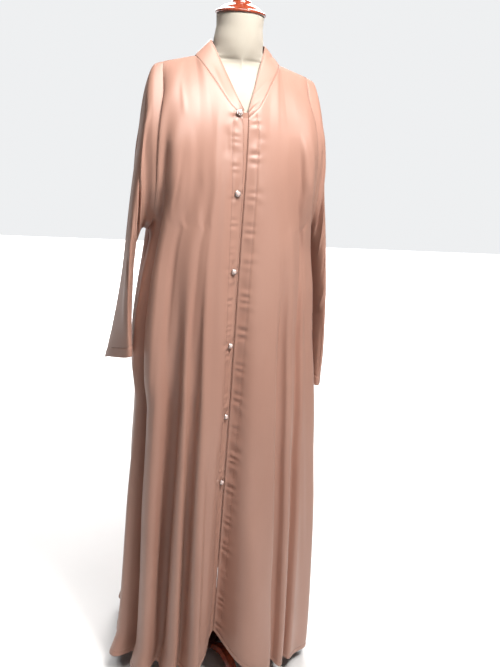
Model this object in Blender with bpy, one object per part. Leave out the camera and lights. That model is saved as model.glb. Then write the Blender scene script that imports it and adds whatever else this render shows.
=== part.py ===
"""Abaya cloak on a limbless dress form.

A long satin front-opening cloak hangs on a dress form with a turned neck cap, a pole
and a wooden base with three curved legs. Units are metres. +Z is up, -Y is the front
and +X is the wearer's left. The origin lies on the floor, below the middle of the form.

Every cloth piece is a wall of even thickness. Its outer face is a grid of points on a
surface worked out from the tables below, and its inner face is that grid moved in
along the surface's own normals. Pieces that are sewn together share the points and
normals of their seam and are then drawn back from it, so the seam keeps an even gap.
"""
import math

import bmesh
import bpy
import numpy as np
from mathutils import Vector

# ---------------------------------------------------------------- driving sizes
CLOTH = 0.002            # thickness of every cloth wall
SEAM_BACK = 0.00022      # each piece is drawn back this far from a seam
HEM_Z = 0.045            # height of the hem above the floor
HEM_DROP = 0.028         # at the wearer's left side it hangs this much lower
CORNER_RISE = 0.110      # the hem rises this much to the front corners
CORNER_REACH = 0.100     # and the rise fades out over this length
CHEST_Z = 1.400          # height where the sloped yoke turns into hanging cloth
UNDERARM_Z = 1.190       # height where the sleeve meets the side seam
SHOULDER_END = (0.170, -0.003, 1.546)    # where shoulder seam and armhole meet
SIDE_CALM = 0.030        # folds fade out over this length before a side seam
PLACKET = 0.026          # width of the stitched border beside each front edge
YOKE_ROWS = 6            # rows of faces between the top seams and the chest
NECK_COLUMNS = 6         # columns of faces that start on the neckband seam
SHOULDER_COLUMNS = 15    # columns of faces that start on the shoulder seam
ARMHOLE_HEIGHTS = (1.350, 1.300, 1.250, 1.212, 1.190)
SKIRT_STEPS = (0.08, 0.17, 0.27, 0.38, 0.50, 0.62, 0.74, 0.87, 1.0)

# Plan of the body at several heights. edge_* is where a panel ends, at the armhole
# above the underarm and at the side seam below it; front and back are the middles.
# The skirt hangs wider on the wearer's left, so the two sides have their own edge_x.
BODY_COLUMNS = ("z", "edge_x_right", "edge_x_left", "edge_front", "edge_back",
                "front", "back", "power")
BODY = (
    (1.440, 0.190, 0.190, -0.052, 0.054, -0.1065, 0.096, 2.8),
    (1.400, 0.190, 0.190, -0.060, 0.062, -0.1180, 0.104, 2.8),
    (1.300, 0.187, 0.187, -0.061, 0.064, -0.1380, 0.116, 2.8),
    (1.250, 0.184, 0.184, -0.050, 0.053, -0.1430, 0.121, 2.9),
    (1.212, 0.182, 0.182, -0.027, 0.029, -0.1460, 0.124, 3.3),
    (1.190, 0.182, 0.182, 0.000, 0.000, -0.1480, 0.126, 3.7),
    (1.050, 0.203, 0.203, 0.000, 0.000, -0.1620, 0.139, 3.1),
    (0.920, 0.214, 0.218, 0.000, 0.000, -0.1760, 0.155, 2.7),
    (0.840, 0.212, 0.230, 0.000, 0.000, -0.1850, 0.166, 2.6),
    (0.740, 0.200, 0.240, 0.000, 0.000, -0.1960, 0.180, 2.6),
    (0.600, 0.202, 0.252, 0.000, 0.000, -0.2110, 0.200, 2.5),
    (0.450, 0.205, 0.265, 0.000, 0.000, -0.2270, 0.221, 2.5),
    (0.280, 0.205, 0.273, 0.000, 0.000, -0.2450, 0.246, 2.5),
    (0.120, 0.207, 0.278, 0.000, 0.000, -0.2620, 0.265, 2.5),
    (0.045, 0.226, 0.279, 0.000, 0.000, -0.2690, 0.270, 2.5),
)

# Half the opening between the two front edges.
EDGE_COLUMNS = ("z", "half_gap")
EDGE = (
    (1.457, 0.0060), (1.400, 0.0045), (1.280, 0.0018), (1.000, 0.0010), (0.600, 0.0008),
    (0.500, 0.0011), (0.350, 0.0014), (0.220, 0.0012), (0.140, 0.0008),
)

# Hanging folds. Each starts at a height and runs to the hem. Places are shares of the
# panel's width from its middle edge; depth is outward, so a valley is negative. It is
# reached at the hem, and growth bends its way there: below 1 the fold deepens early.
# A fold that leans, in degrees, slants under the cloth on its outer side.
FOLD_COLUMNS = ("start", "at_start", "at_hem", "width_start", "width_hem", "depth", "growth",
                "lean")
FOLDS = {
    "front_right": (
        (1.450, 0.00, 0.00, 0.018, 0.036, -0.090, 1.4, 0),
        (1.420, 0.30, 0.15, 0.010, 0.022, 0.012, 0.6, 0),
        (1.330, 0.33, 0.24, 0.011, 0.012, -0.046, 0.9, 22),
        (1.400, 0.50, 0.42, 0.024, 0.020, -0.062, 0.8, 28),
        (1.420, 0.66, 0.53, 0.020, 0.036, 0.014, 0.5, 0),
        (1.430, 0.81, 0.69, 0.018, 0.013, -0.046, 0.5, 28),
        (1.210, 0.90, 0.79, 0.014, 0.036, 0.034, 1.3, 0),
    ),
    "front_left": (
        (1.450, 0.00, 0.00, 0.018, 0.038, -0.090, 1.4, 0),
        (1.300, 0.24, 0.21, 0.050, 0.060, 0.008, 1.0, 0),
        (1.180, 0.37, 0.36, 0.012, 0.013, -0.038, 0.9, 24),
        (1.380, 0.60, 0.48, 0.012, 0.012, -0.038, 0.6, 30),
        (1.430, 0.75, 0.71, 0.016, 0.032, 0.032, 0.5, 0),
    ),
    "back_right": (
        (1.300, 0.18, 0.20, 0.020, 0.018, -0.045, 0.8, 0),
        (1.350, 0.45, 0.46, 0.018, 0.018, -0.050, 0.8, 0),
        (1.250, 0.70, 0.72, 0.016, 0.016, -0.040, 0.8, 0),
    ),
    "back_left": (
        (1.330, 0.22, 0.25, 0.020, 0.018, -0.048, 0.8, 0),
        (1.300, 0.50, 0.52, 0.018, 0.018, -0.045, 0.8, 0),
        (1.250, 0.74, 0.75, 0.016, 0.016, -0.042, 0.8, 0),
    ),
}
FOLD_STOPS = (-1.8, -0.8, 0.0, 0.8, 1.8)     # columns set round each fold, in widths

# The neck end of the shoulder seam, as a share of a panel's width at chest and hem.
NECK_CORNER = {
    "front_right": (0.46, 0.34), "front_left": (0.46, 0.47),
    "back_right": (0.46, 0.34), "back_left": (0.46, 0.40),
}

# Seam between the neckband and the panels, and the band's free edge, on one side.
NECK_COLUMNS_XYZ = ("seam_x", "seam_y", "seam_z", "edge_x", "edge_y", "edge_z")
NECK_FRONT = (
    (0.0060, -0.1060, 1.4400, 0.0060, -0.1035, 1.4570),
    (0.0350, -0.0930, 1.4680, 0.0215, -0.0750, 1.4960),
    (0.0690, -0.0560, 1.5200, 0.0400, -0.0410, 1.5430),
    (0.0920, -0.0250, 1.5530, 0.0550, -0.0150, 1.5800),
    (0.1010, -0.0030, 1.5650, 0.0640, 0.0030, 1.6030),
)
NECK_BACK = (
    (0.1010, -0.0030, 1.5650, 0.0640, 0.0030, 1.6030),
    (0.0960, 0.0300, 1.5630, 0.0600, 0.0330, 1.6060),
    (0.0720, 0.0620, 1.5590, 0.0440, 0.0570, 1.6050),
    (0.0380, 0.0800, 1.5560, 0.0230, 0.0700, 1.6030),
    (0.0000, 0.0850, 1.5550, 0.0000, 0.0740, 1.6020),
)
BAND_ROWS = 3

# Sleeves: four lines run from armhole to cuff, over the arm, along the front, under
# the arm and along the back. share is the part of the sleeve's length.
SLEEVE_COLUMNS = (
    "share",
    "over_x", "over_y", "over_z", "front_x", "front_y", "front_z",
    "under_x", "under_y", "under_z", "back_x", "back_y", "back_z",
)
SLEEVES = {
    "sleeve_right": (
        (0.00, 0.170, -0.003, 1.546, 0.189, -0.061, 1.350, 0.182, 0.000, 1.190,
         0.189, 0.063, 1.350),
        (0.06, 0.191, -0.001, 1.537, 0.200, -0.067, 1.340, 0.194, 0.000, 1.186,
         0.199, 0.068, 1.340),
        (0.14, 0.204, 0.000, 1.505, 0.212, -0.070, 1.312, 0.205, 0.000, 1.168,
         0.209, 0.069, 1.312),
        (0.28, 0.214, 0.002, 1.415, 0.223, -0.073, 1.240, 0.216, 0.001, 1.127,
         0.217, 0.070, 1.240),
        (0.45, 0.229, 0.005, 1.265, 0.238, -0.076, 1.140, 0.218, 0.003, 1.070,
         0.226, 0.070, 1.140),
        (0.64, 0.238, 0.008, 1.090, 0.240, -0.080, 1.035, 0.219, 0.004, 0.995,
         0.236, 0.071, 1.020),
        (0.84, 0.255, 0.010, 0.940, 0.236, -0.084, 0.940, 0.223, 0.004, 0.925,
         0.250, 0.070, 0.910),
        (1.00, 0.271, 0.010, 0.850, 0.232, -0.086, 0.880, 0.227, 0.004, 0.865,
         0.262, 0.067, 0.832),
    ),
    "sleeve_left": (
        (0.00, 0.170, -0.003, 1.546, 0.189, -0.061, 1.350, 0.182, 0.000, 1.190,
         0.189, 0.063, 1.350),
        (0.06, 0.192, -0.001, 1.536, 0.201, -0.067, 1.337, 0.194, 0.000, 1.186,
         0.200, 0.069, 1.337),
        (0.14, 0.204, 0.000, 1.498, 0.212, -0.070, 1.305, 0.205, 0.000, 1.165,
         0.210, 0.071, 1.305),
        (0.28, 0.215, 0.001, 1.395, 0.225, -0.073, 1.220, 0.217, 0.001, 1.115,
         0.219, 0.071, 1.220),
        (0.45, 0.236, 0.001, 1.235, 0.242, -0.074, 1.110, 0.226, 0.002, 1.045,
         0.229, 0.070, 1.110),
        (0.64, 0.256, 0.000, 1.050, 0.254, -0.079, 0.985, 0.236, 0.002, 0.955,
         0.245, 0.072, 0.975),
        (0.84, 0.278, 0.000, 0.880, 0.257, -0.084, 0.860, 0.244, 0.002, 0.855,
         0.265, 0.073, 0.850),
        (1.00, 0.288, 0.000, 0.808, 0.254, -0.088, 0.797, 0.250, 0.002, 0.806,
         0.274, 0.072, 0.793),
    ),
}
SLEEVE_SHARES = (0.0, 0.05, 0.10, 0.16, 0.22, 0.26, 0.30, 0.36, 0.46, 0.58, 0.71, 0.85, 1.0)
SLEEVE_MEND = 0.30       # share of the sleeve that settles the armhole's own outline

# Deep creases pressed into the sleeves, depth inward.
CREASE_COLUMNS = ("share", "angle", "share_width", "angle_width", "depth")
CREASES = {
    "sleeve_right": ((0.27, 118.0, 0.035, 34.0, 0.026),),
    "sleeve_left": ((0.22, 112.0, 0.030, 24.0, 0.014),),
}

# Under-lap: the strip behind the closed front edges, as wide as both borders.
LAP_END = 0.540
LAP_CLEAR = 0.0004
LAP_RISE = 2             # how many of the band's rows it goes up behind

# Buttons, on the wearer's right front.
BUTTON_TOP = 1.449
BUTTON_STEP = 0.172
BUTTON_COUNT = 6
BUTTON_INSET = 0.0135    # from the front edge to the middle of a button
BUTTON_SEGMENTS = 10
BUTTON_COLUMNS = ("radius", "height")
BUTTON = (
    (0.0, 0.0008), (0.0022, 0.0008), (0.0022, 0.0028), (0.0066, 0.0032),
    (0.0072, 0.0044), (0.0064, 0.0060), (0.0046, 0.0082), (0.0, 0.0092),
)

# Dress form: level sections of torso and neck. middle is the y of the widest points.
FORM_COLUMNS = ("z", "half_width", "middle", "front", "back", "power")
FORM = (
    (0.872, 0.140, 0.005, -0.088, 0.098, 2.2),
    (0.885, 0.158, 0.005, -0.103, 0.115, 2.2),
    (0.930, 0.164, 0.005, -0.110, 0.122, 2.2),
    (1.000, 0.152, 0.004, -0.103, 0.112, 2.2),
    (1.100, 0.120, 0.000, -0.088, 0.088, 2.2),
    (1.190, 0.128, -0.004, -0.106, 0.090, 2.2),
    (1.270, 0.142, -0.006, -0.124, 0.096, 2.2),
    (1.330, 0.150, -0.006, -0.121, 0.096, 2.2),
    (1.400, 0.158, -0.004, -0.106, 0.092, 2.2),
    (1.450, 0.164, -0.003, -0.094, 0.085, 2.1),
    (1.500, 0.168, -0.003, -0.064, 0.068, 1.35),
    (1.530, 0.165, -0.003, -0.046, 0.062, 0.90),
    (1.5435, 0.160, -0.003, -0.041, 0.060, 0.78),
    (1.5555, 0.1235, -0.003, -0.038, 0.058, 0.76),
    (1.5640, 0.083, -0.002, -0.037, 0.057, 0.95),
    (1.574, 0.0625, 0.002, -0.038, 0.057, 1.6),
    (1.588, 0.0580, 0.005, -0.044, 0.057, 1.9),
    (1.608, 0.0575, 0.005, -0.048, 0.058, 2.0),
    (1.635, 0.0530, 0.005, -0.048, 0.058, 2.0),
    (1.661, 0.0545, 0.005, -0.0495, 0.0595, 2.0),
)
FORM_SEGMENTS = 28
NECK_MIDDLE_Y = 0.005

# Turned parts, as radius and height profiles from the bottom to the top.
TURNED_COLUMNS = ("radius", "height")
NECK_CAP = (
    (0.0, 1.6613), (0.0550, 1.6613), (0.0575, 1.6630), (0.0570, 1.6660),
    (0.0490, 1.6700), (0.0420, 1.6765), (0.0300, 1.6820), (0.0235, 1.6850),
    (0.0215, 1.6900), (0.0130, 1.6950), (0.0120, 1.7010), (0.0185, 1.7080),
    (0.0210, 1.7170), (0.0180, 1.7260), (0.0095, 1.7320), (0.0, 1.7335),
)
HUB = (
    (0.0, 0.0220), (0.0900, 0.0220), (0.1000, 0.0270), (0.1020, 0.0350),
    (0.0960, 0.0430), (0.0700, 0.0520), (0.0480, 0.0600), (0.0380, 0.0750),
    (0.0350, 0.1100), (0.0300, 0.1350), (0.0240, 0.1450), (0.0, 0.1450),
)
TURNED_SEGMENTS = 24
POLE_RADIUS = 0.0125
POLE_BOTTOM = 0.1453
POLE_TOP = 0.8717

# Legs: each leaves the hub's rim, arches outward and ends in a flat foot.
LEG_COUNT = 3
LEG_FIRST = 20.0         # degrees from straight front towards the wearer's left
LEG_COLUMNS = ("out", "bottom", "top", "half_width")
LEG = (
    (0.1019, 0.0240, 0.0420, 0.0150),
    (0.1220, 0.0300, 0.0540, 0.0155),
    (0.1450, 0.0330, 0.0590, 0.0150),
    (0.1680, 0.0240, 0.0500, 0.0140),
    (0.1860, 0.0090, 0.0340, 0.0130),
    (0.1970, 0.0000, 0.0210, 0.0130),
    (0.2120, 0.0000, 0.0150, 0.0130),
    (0.2160, 0.0000, 0.0110, 0.0110),
)

CLOTH_COLOUR = (0.47, 0.24, 0.17, 1.0)
LINEN_COLOUR = (0.86, 0.78, 0.64, 1.0)
WOOD_COLOUR = (0.36, 0.09, 0.05, 1.0)
DARK_WOOD_COLOUR = (0.10, 0.035, 0.03, 1.0)
STEEL_COLOUR = (0.55, 0.55, 0.56, 1.0)
STONE_COLOUR = (0.90, 0.87, 0.84, 1.0)


# ---------------------------------------------------------------- small helpers
def smooth(table, names, name, place):
    """Read a table's column at a place, on a smooth line that never overshoots."""
    rows = sorted((row[0], row[names.index(name)]) for row in table)
    keys = [row[0] for row in rows]
    values = [row[1] for row in rows]
    place = min(max(place, keys[0]), keys[-1])
    last = len(keys) - 2
    i = min(max(int(np.searchsorted(keys, place)) - 1, 0), last)
    steps = [(values[k + 1] - values[k]) / (keys[k + 1] - keys[k]) for k in range(last + 1)]

    def slope(k):
        if k == 0 or k == last + 1:
            return steps[min(k, last)]
        before, after = steps[k - 1], steps[k]
        if before * after <= 0:
            return 0.0
        return 2 * before * after / (before + after)

    width = keys[i + 1] - keys[i]
    t = (place - keys[i]) / width
    return (
        (1 + 2 * t) * (1 - t) ** 2 * values[i]
        + t * (1 - t) ** 2 * width * slope(i)
        + t * t * (3 - 2 * t) * values[i + 1]
        + t * t * (t - 1) * width * slope(i + 1)
    )


def fade(value):
    """Ease from 0 to 1."""
    value = min(max(value, 0.0), 1.0)
    return value * value * (3 - 2 * value)


def unit(vectors):
    """Scale vectors to length 1."""
    lengths = np.linalg.norm(vectors, axis=-1, keepdims=True)
    return vectors / np.maximum(lengths, 1e-12)


def material(name, colour, roughness, metallic=0.0):
    """Make a plain material."""
    made = bpy.data.materials.new(name)
    made.use_nodes = True
    shader = made.node_tree.nodes["Principled BSDF"]
    shader.inputs["Base Color"].default_value = colour
    shader.inputs["Roughness"].default_value = roughness
    shader.inputs["Metallic"].default_value = metallic
    return made


def add_object(name, work, finish, sharp_angle=35.0):
    """Turn a bmesh into a named object whose faces point out."""
    bmesh.ops.recalc_face_normals(work, faces=work.faces)
    mesh = bpy.data.meshes.new(name)
    work.to_mesh(mesh)
    work.free()
    mesh.shade_smooth()
    mesh.set_sharp_from_angle(angle=math.radians(sharp_angle))
    mesh.materials.append(finish)
    made = bpy.data.objects.new(name, mesh)
    bpy.context.scene.collection.objects.link(made)
    return made


# ---------------------------------------------------------------- body surface
def is_back(panel):
    return panel.startswith("back")


def body_size(name, z):
    return smooth(BODY, BODY_COLUMNS, name, z)


def plan(panel, z):
    """Sample a panel's plan at one height, from its middle to its edge."""
    back = is_back(panel)
    edge_x = body_size("edge_x_right" if panel.endswith("right") else "edge_x_left", z)
    edge_y = body_size("edge_back" if back else "edge_front", z)
    middle_y = body_size("back" if back else "front", z)
    power = body_size("power", z)
    start_x = 0.0 if back else smooth(EDGE, EDGE_COLUMNS, "half_gap", z)
    turn = np.linspace(0.0, math.pi / 2, 321)
    x = start_x + (edge_x - start_x) * np.sin(turn) ** (2 / power)
    y = edge_y + (middle_y - edge_y) * np.maximum(np.cos(turn), 0.0) ** (2 / power)
    return x, y


def place_on_plan(panel, z, shares):
    """Points, outward directions and length of the plan at shares of its length."""
    x, y = plan(panel, z)
    run = np.concatenate([[0.0], np.cumsum(np.hypot(np.diff(x), np.diff(y)))])
    length = run[-1]
    spots = np.asarray(shares, dtype=float) * length
    reach = 0.004
    ahead = np.minimum(spots + reach, length)
    behind = np.maximum(spots - reach, 0.0)
    dx = np.interp(ahead, run, x) - np.interp(behind, run, x)
    dy = np.interp(ahead, run, y) - np.interp(behind, run, y)
    side = -1.0 if is_back(panel) else 1.0
    outward = unit(np.stack([dy * side, -dx * side], axis=-1))
    points = np.stack([np.interp(spots, run, x), np.interp(spots, run, y)], axis=-1)
    return points, outward, length


def panel_length(panel, z):
    return place_on_plan(panel, z, [0.0])[2]


def fold_state(row, z):
    """Place, width and depth of one fold at one height."""
    fold = dict(zip(FOLD_COLUMNS, row))
    down = min(max((fold["start"] - z) / (fold["start"] - HEM_Z), 0.0), 1.0)
    place = fold["at_start"] + (fold["at_hem"] - fold["at_start"]) * down
    width = fold["width_start"] + (fold["width_hem"] - fold["width_start"]) * down
    return place, width, fold["depth"] * down ** fold["growth"]


def guides(panel, z):
    """Lines that columns follow, as shares of the width at the hem and at a height."""
    pairs = [(0.0, 0.0), (1.0, 1.0)]
    for row in FOLDS[panel]:
        if fold_state(row, HEM_Z)[0] > 0.0:
            pairs.append((fold_state(row, HEM_Z)[0], fold_state(row, z)[0]))
    at_chest, at_hem = NECK_CORNER[panel]
    down = min(max((CHEST_Z - z) / (CHEST_Z - HEM_Z), 0.0), 1.0)
    pairs.append((at_hem, at_chest + (at_hem - at_chest) * down))
    if not is_back(panel):
        pairs.append((PLACKET / panel_length(panel, HEM_Z), PLACKET / panel_length(panel, z)))
    return sorted(pairs)


def thin_or_fill(stops, kept, count):
    """Drop the most crowded stops, or halve the widest steps, until count steps are left."""
    stops = sorted(stops)
    while len(stops) - 1 > count:
        crowding = [
            (stops[i + 1] - stops[i - 1], i)
            for i in range(1, len(stops) - 1) if stops[i] not in kept
        ]
        stops.pop(min(crowding)[1])
    while len(stops) - 1 < count:
        i = int(np.argmax(np.diff(stops)))
        stops.insert(i + 1, (stops[i] + stops[i + 1]) / 2)
    return stops


def column_stops(panel, neck_columns, shoulder_columns):
    """Where the columns end, as shares of the hem's width. They gather round folds."""
    kept = {pair[0] for pair in guides(panel, HEM_Z)}
    stops = set(kept)
    hem_length = panel_length(panel, HEM_Z)
    least = 0.25 / (neck_columns + shoulder_columns)
    for row in FOLDS[panel]:
        place, width, _ = fold_state(row, HEM_Z)
        for step in FOLD_STOPS:
            stop = place + step * width / hem_length
            if 0.0 < stop < 1.0 and min(abs(stop - other) for other in stops) > least:
                stops.add(stop)
    corner = NECK_CORNER[panel][1]
    inner = thin_or_fill([s for s in stops if s <= corner], kept, neck_columns)
    outer = thin_or_fill([s for s in stops if s >= corner], kept, shoulder_columns)
    return np.array(inner + outer[1:])


def shares_at(panel, columns, z):
    """Follow the folds: move the columns' hem shares to where they lie at a height."""
    pairs = guides(panel, z)
    return np.interp(columns, [p[0] for p in pairs], [p[1] for p in pairs])


def hanging_row(panel, shares, heights):
    """One row of a panel with its folds. Its plan is that of its outer end's height."""
    shares = np.asarray(shares)
    heights = np.broadcast_to(np.asarray(heights, dtype=float), shares.shape)
    level = heights[-1]
    points, outward, length = place_on_plan(panel, level, shares)
    side = -1.0 if is_back(panel) else 1.0
    along = np.stack([-outward[:, 1], outward[:, 0]], axis=-1) * side
    push = np.zeros(points.shape)
    for row in FOLDS[panel]:
        place, width, depth = fold_state(row, level)
        lean = math.radians(dict(zip(FOLD_COLUMNS, row))["lean"])
        bump = depth * np.exp(-(((shares - place) * length / width) ** 2))
        push += bump[:, None] * (outward * math.cos(lean) - along * math.sin(lean))
    calm = [fade((1.0 - share) * length / SIDE_CALM) for share in shares]
    moved = points + push * np.array(calm)[:, None]
    moved[shares == 0.0, 0] = points[shares == 0.0, 0]
    return np.column_stack([moved, heights])


def hem_heights(panel, columns):
    """The hem rises towards the front corners and sinks at the wearer's left side."""
    drop = HEM_DROP if panel.endswith("left") else 0.0
    heights = HEM_Z - drop * np.array([fade(share) for share in columns])
    if is_back(panel):
        return heights
    reach = CORNER_REACH / panel_length(panel, HEM_Z)
    rise = CORNER_RISE * np.exp(-columns / reach)
    return heights + rise * np.array([fade((1.0 - share) / 0.3) for share in columns])


def neck_line(table, kind, share):
    """A point on the neckband's seam or free edge, by share of its length."""
    rows = [(i / (len(table) - 1),) + row for i, row in enumerate(table)]
    names = ("place",) + NECK_COLUMNS_XYZ
    return np.array([smooth(rows, names, f"{kind}_{axis}", share) for axis in "xyz"])


def top_line(panel, neck_columns, shoulder_columns):
    """The upper edge of a panel: neckband seam, then shoulder seam."""
    points = []
    for i in range(neck_columns + 1):
        share = i / neck_columns
        if is_back(panel):
            points.append(neck_line(NECK_BACK, "seam", 1.0 - share))
        else:
            points.append(neck_line(NECK_FRONT, "seam", share))
    corner = points[-1]
    for i in range(1, shoulder_columns + 1):
        points.append(corner + (np.array(SHOULDER_END) - corner) * i / shoulder_columns)
    return np.array(points)


def panel_grid(panel):
    """Rows of points from the top seams to the hem, on the +X side."""
    columns = column_stops(panel, NECK_COLUMNS, SHOULDER_COLUMNS)
    top = top_line(panel, NECK_COLUMNS, SHOULDER_COLUMNS)
    chest_shares = shares_at(panel, columns, CHEST_Z)
    chest = hanging_row(panel, chest_shares, CHEST_Z)
    above = hanging_row(panel, chest_shares, CHEST_Z + 0.02)
    rise = unit(above - chest)
    span = np.linalg.norm(top - chest, axis=1, keepdims=True)
    control = 0.35 * (top + chest) / 2 + 0.65 * (chest + rise * span * 0.55)
    rows = []
    for i in range(YOKE_ROWS + 1):
        s = i / YOKE_ROWS
        rows.append((1 - s) ** 2 * top + 2 * s * (1 - s) * control + s * s * chest)
    for z in ARMHOLE_HEIGHTS:
        rows.append(hanging_row(panel, shares_at(panel, columns, z), z))
    hem = hem_heights(panel, columns)
    for step in SKIRT_STEPS:
        heights = UNDERARM_Z + (hem - UNDERARM_Z) * step
        rows.append(hanging_row(panel, shares_at(panel, columns, heights[-1]), heights))
    return np.array(rows)


def mirrored(grid):
    """The same grid on the -X side."""
    return grid * np.array([-1.0, 1.0, 1.0])


# ---------------------------------------------------------------- sleeves
def armhole_loop(front_grid, back_grid, rows):
    """Armhole outline: down the front edge and up the back edge, with its angles."""
    front = front_grid[:rows, -1]
    back = back_grid[:rows, -1]

    def angles(line):
        run = np.concatenate([[0.0], np.cumsum(np.linalg.norm(np.diff(line, axis=0), axis=1))])
        return 180.0 * run / run[-1]

    loop = np.concatenate([front, back[-2:0:-1]])
    turn = np.concatenate([angles(front), 360.0 - angles(back)[-2:0:-1]])
    return loop, turn


def sleeve_ring(table, share, turn):
    """A closed ring through the four guide lines of the sleeve."""
    over, front, under, back = (
        np.array([smooth(table, SLEEVE_COLUMNS, f"{line}_{axis}", share) for axis in "xyz"])
        for line in ("over", "front", "under", "back")
    )
    angle = np.radians(turn)[:, None]
    return (
        (over + front + under + back) / 4
        + (over - under) / 2 * np.cos(angle)
        + (front - back) / 2 * np.sin(angle)
        + (over + under - front - back) / 4 * np.cos(2 * angle)
    )


def sleeve_grid(name, loop, turn, shares=SLEEVE_SHARES):
    """Rings from the armhole to the cuff, on the +X side."""
    table = SLEEVES[name]
    first = sleeve_ring(table, 0.0, turn)
    rings = []
    for share in shares:
        ring = sleeve_ring(table, share, turn)
        ring = ring + (loop - first) * (1.0 - fade(share / SLEEVE_MEND))
        inward = unit(ring.mean(axis=0) - ring)
        for row in CREASES[name]:
            crease = dict(zip(CREASE_COLUMNS, row))
            along = math.exp(-(((share - crease["share"]) / crease["share_width"]) ** 2))
            around = np.exp(-(((turn - crease["angle"]) / crease["angle_width"]) ** 2))
            ring = ring + inward * (crease["depth"] * along * around)[:, None]
        rings.append(ring)
    rings[0] = loop
    return np.array(rings)


# ---------------------------------------------------------------- cloth solids
def face_normals(grid, closed):
    """Normals of a grid's cells."""
    wide = np.concatenate([grid, grid[:, :1]], axis=1) if closed else grid
    across = (wide[:-1, 1:] - wide[:-1, :-1]) + (wide[1:, 1:] - wide[1:, :-1])
    down = (wide[1:, :-1] - wide[:-1, :-1]) + (wide[1:, 1:] - wide[:-1, 1:])
    return np.cross(across, down)


def shared_normals(sheets):
    """Vertex normals, averaged over every sheet that has a point at the same place."""
    total = {}

    def key(point):
        return tuple(np.round(point * 1e5).astype(int))

    for sheet in sheets:
        grid, closed, flip = sheet["grid"], sheet["closed"], sheet["flip"]
        cells = unit(face_normals(grid, closed)) * (-1.0 if flip else 1.0)
        rows, columns = grid.shape[:2]
        for r in range(cells.shape[0]):
            for c in range(cells.shape[1]):
                for corner in ((r, c), (r, (c + 1) % columns), (r + 1, c),
                               (r + 1, (c + 1) % columns)):
                    spot = key(grid[corner])
                    total[spot] = total.get(spot, np.zeros(3)) + cells[r, c]
    for sheet in sheets:
        grid = sheet["grid"]
        rows, columns = grid.shape[:2]
        sheet["normals"] = unit(np.array(
            [[total[key(grid[r, c])] for c in range(columns)] for r in range(rows)]
        ))


def draw_back(grid, edges):
    """Move a grid's sewn edges back from their seams."""
    moved = grid.copy()
    neighbours = {
        "top": (np.s_[0, :], np.s_[1, :]),
        "bottom": (np.s_[-1, :], np.s_[-2, :]),
        "first": (np.s_[:, 0], np.s_[:, 1]),
        "last": (np.s_[:, -1], np.s_[:, -2]),
    }
    for edge in edges:
        here, inside = neighbours[edge]
        moved[here] += unit(grid[inside] - grid[here]) * SEAM_BACK
    return moved


def cloth_solid(sheet, finish):
    """Close a sheet into a wall: its own grid outside, and a copy moved inward."""
    closed = sheet["closed"]
    outer = draw_back(sheet["grid"], sheet["sewn"])
    inner = outer - sheet["normals"] * CLOTH
    rows, columns = outer.shape[:2]
    work = bmesh.new()
    layers = [
        [[work.verts.new(layer[r, c]) for c in range(columns)] for r in range(rows)]
        for layer in (outer, inner)
    ]
    spans = columns if closed else columns - 1
    for verts in layers:
        for r in range(rows - 1):
            for c in range(spans):
                d = (c + 1) % columns
                work.faces.new((verts[r][c], verts[r][d], verts[r + 1][d], verts[r + 1][c]))
    rims = [[(r, c) for c in range(columns)] + ([(r, 0)] if closed else []) for r in (0, rows - 1)]
    if not closed:
        rims += [[(r, c) for r in range(rows)] for c in (0, columns - 1)]
    for rim in rims:
        for ends in zip(rim, rim[1:]):
            # Sewn neighbours split their rims the same way, from the higher outer corner.
            low, high = sorted(ends, key=lambda spot: tuple(outer[spot][::-1]))
            outer_low, outer_high, inner_low, inner_high = (
                layer[r][c] for layer in layers for r, c in (low, high)
            )
            work.faces.new((outer_high, outer_low, inner_low))
            work.faces.new((outer_high, inner_low, inner_high))
    return add_object(sheet["name"], work, finish)


def neckband_grid(rows=BAND_ROWS, neck_columns=NECK_COLUMNS):
    """The band, from the wearer's right front edge round the back to the left one."""
    stations = [(NECK_FRONT, i / neck_columns) for i in range(neck_columns + 1)]
    stations += [(NECK_BACK, i / neck_columns) for i in range(1, neck_columns + 1)]
    half = []
    for table, share in stations:
        seam = neck_line(table, "seam", share)
        edge = neck_line(table, "edge", share)
        half.append([seam + (edge - seam) * r / rows for r in range(rows + 1)])
    half = np.array(half).transpose(1, 0, 2)
    return np.concatenate([mirrored(half), half[:, -2::-1]], axis=1)


def underlap_grid(fronts, band):
    """A strip that follows the inner faces of the band's ends and both front edges."""
    halves = []
    for front, columns in zip(fronts, ([0, 1], [-1, -2])):
        rows = [(band["grid"][r, columns], band["normals"][r, columns])
                for r in range(LAP_RISE, 0, -1)]
        rows += [(front["grid"][r, :2], front["normals"][r, :2])
                 for r in range(len(front["grid"])) if front["grid"][r, 0, 2] > LAP_END]
        halves.append(np.array([grid - normals * (CLOTH + LAP_CLEAR) for grid, normals in rows]))
    return np.concatenate([halves[0][:, ::-1], halves[1]], axis=1)


def front_spot(sheet, z, inset):
    """Point and outward normal on a front panel, a small way in from its edge."""
    grid = sheet["grid"]
    row = min(range(1, len(grid)), key=lambda r: max(grid[r][0][2] - z, 0) + 1e-3 * r)
    high, low = grid[row - 1], grid[row]
    share = min(max((high[0][2] - z) / (high[0][2] - low[0][2]), 0.0), 1.0)
    line = high[:2] + (low[:2] - high[:2]) * share
    across = unit(line[1] - line[0])
    down = unit(low[0] - high[0])
    normal = unit(np.cross(across, down))
    return line[0] + across * inset, normal if normal[1] < 0 else -normal


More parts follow.
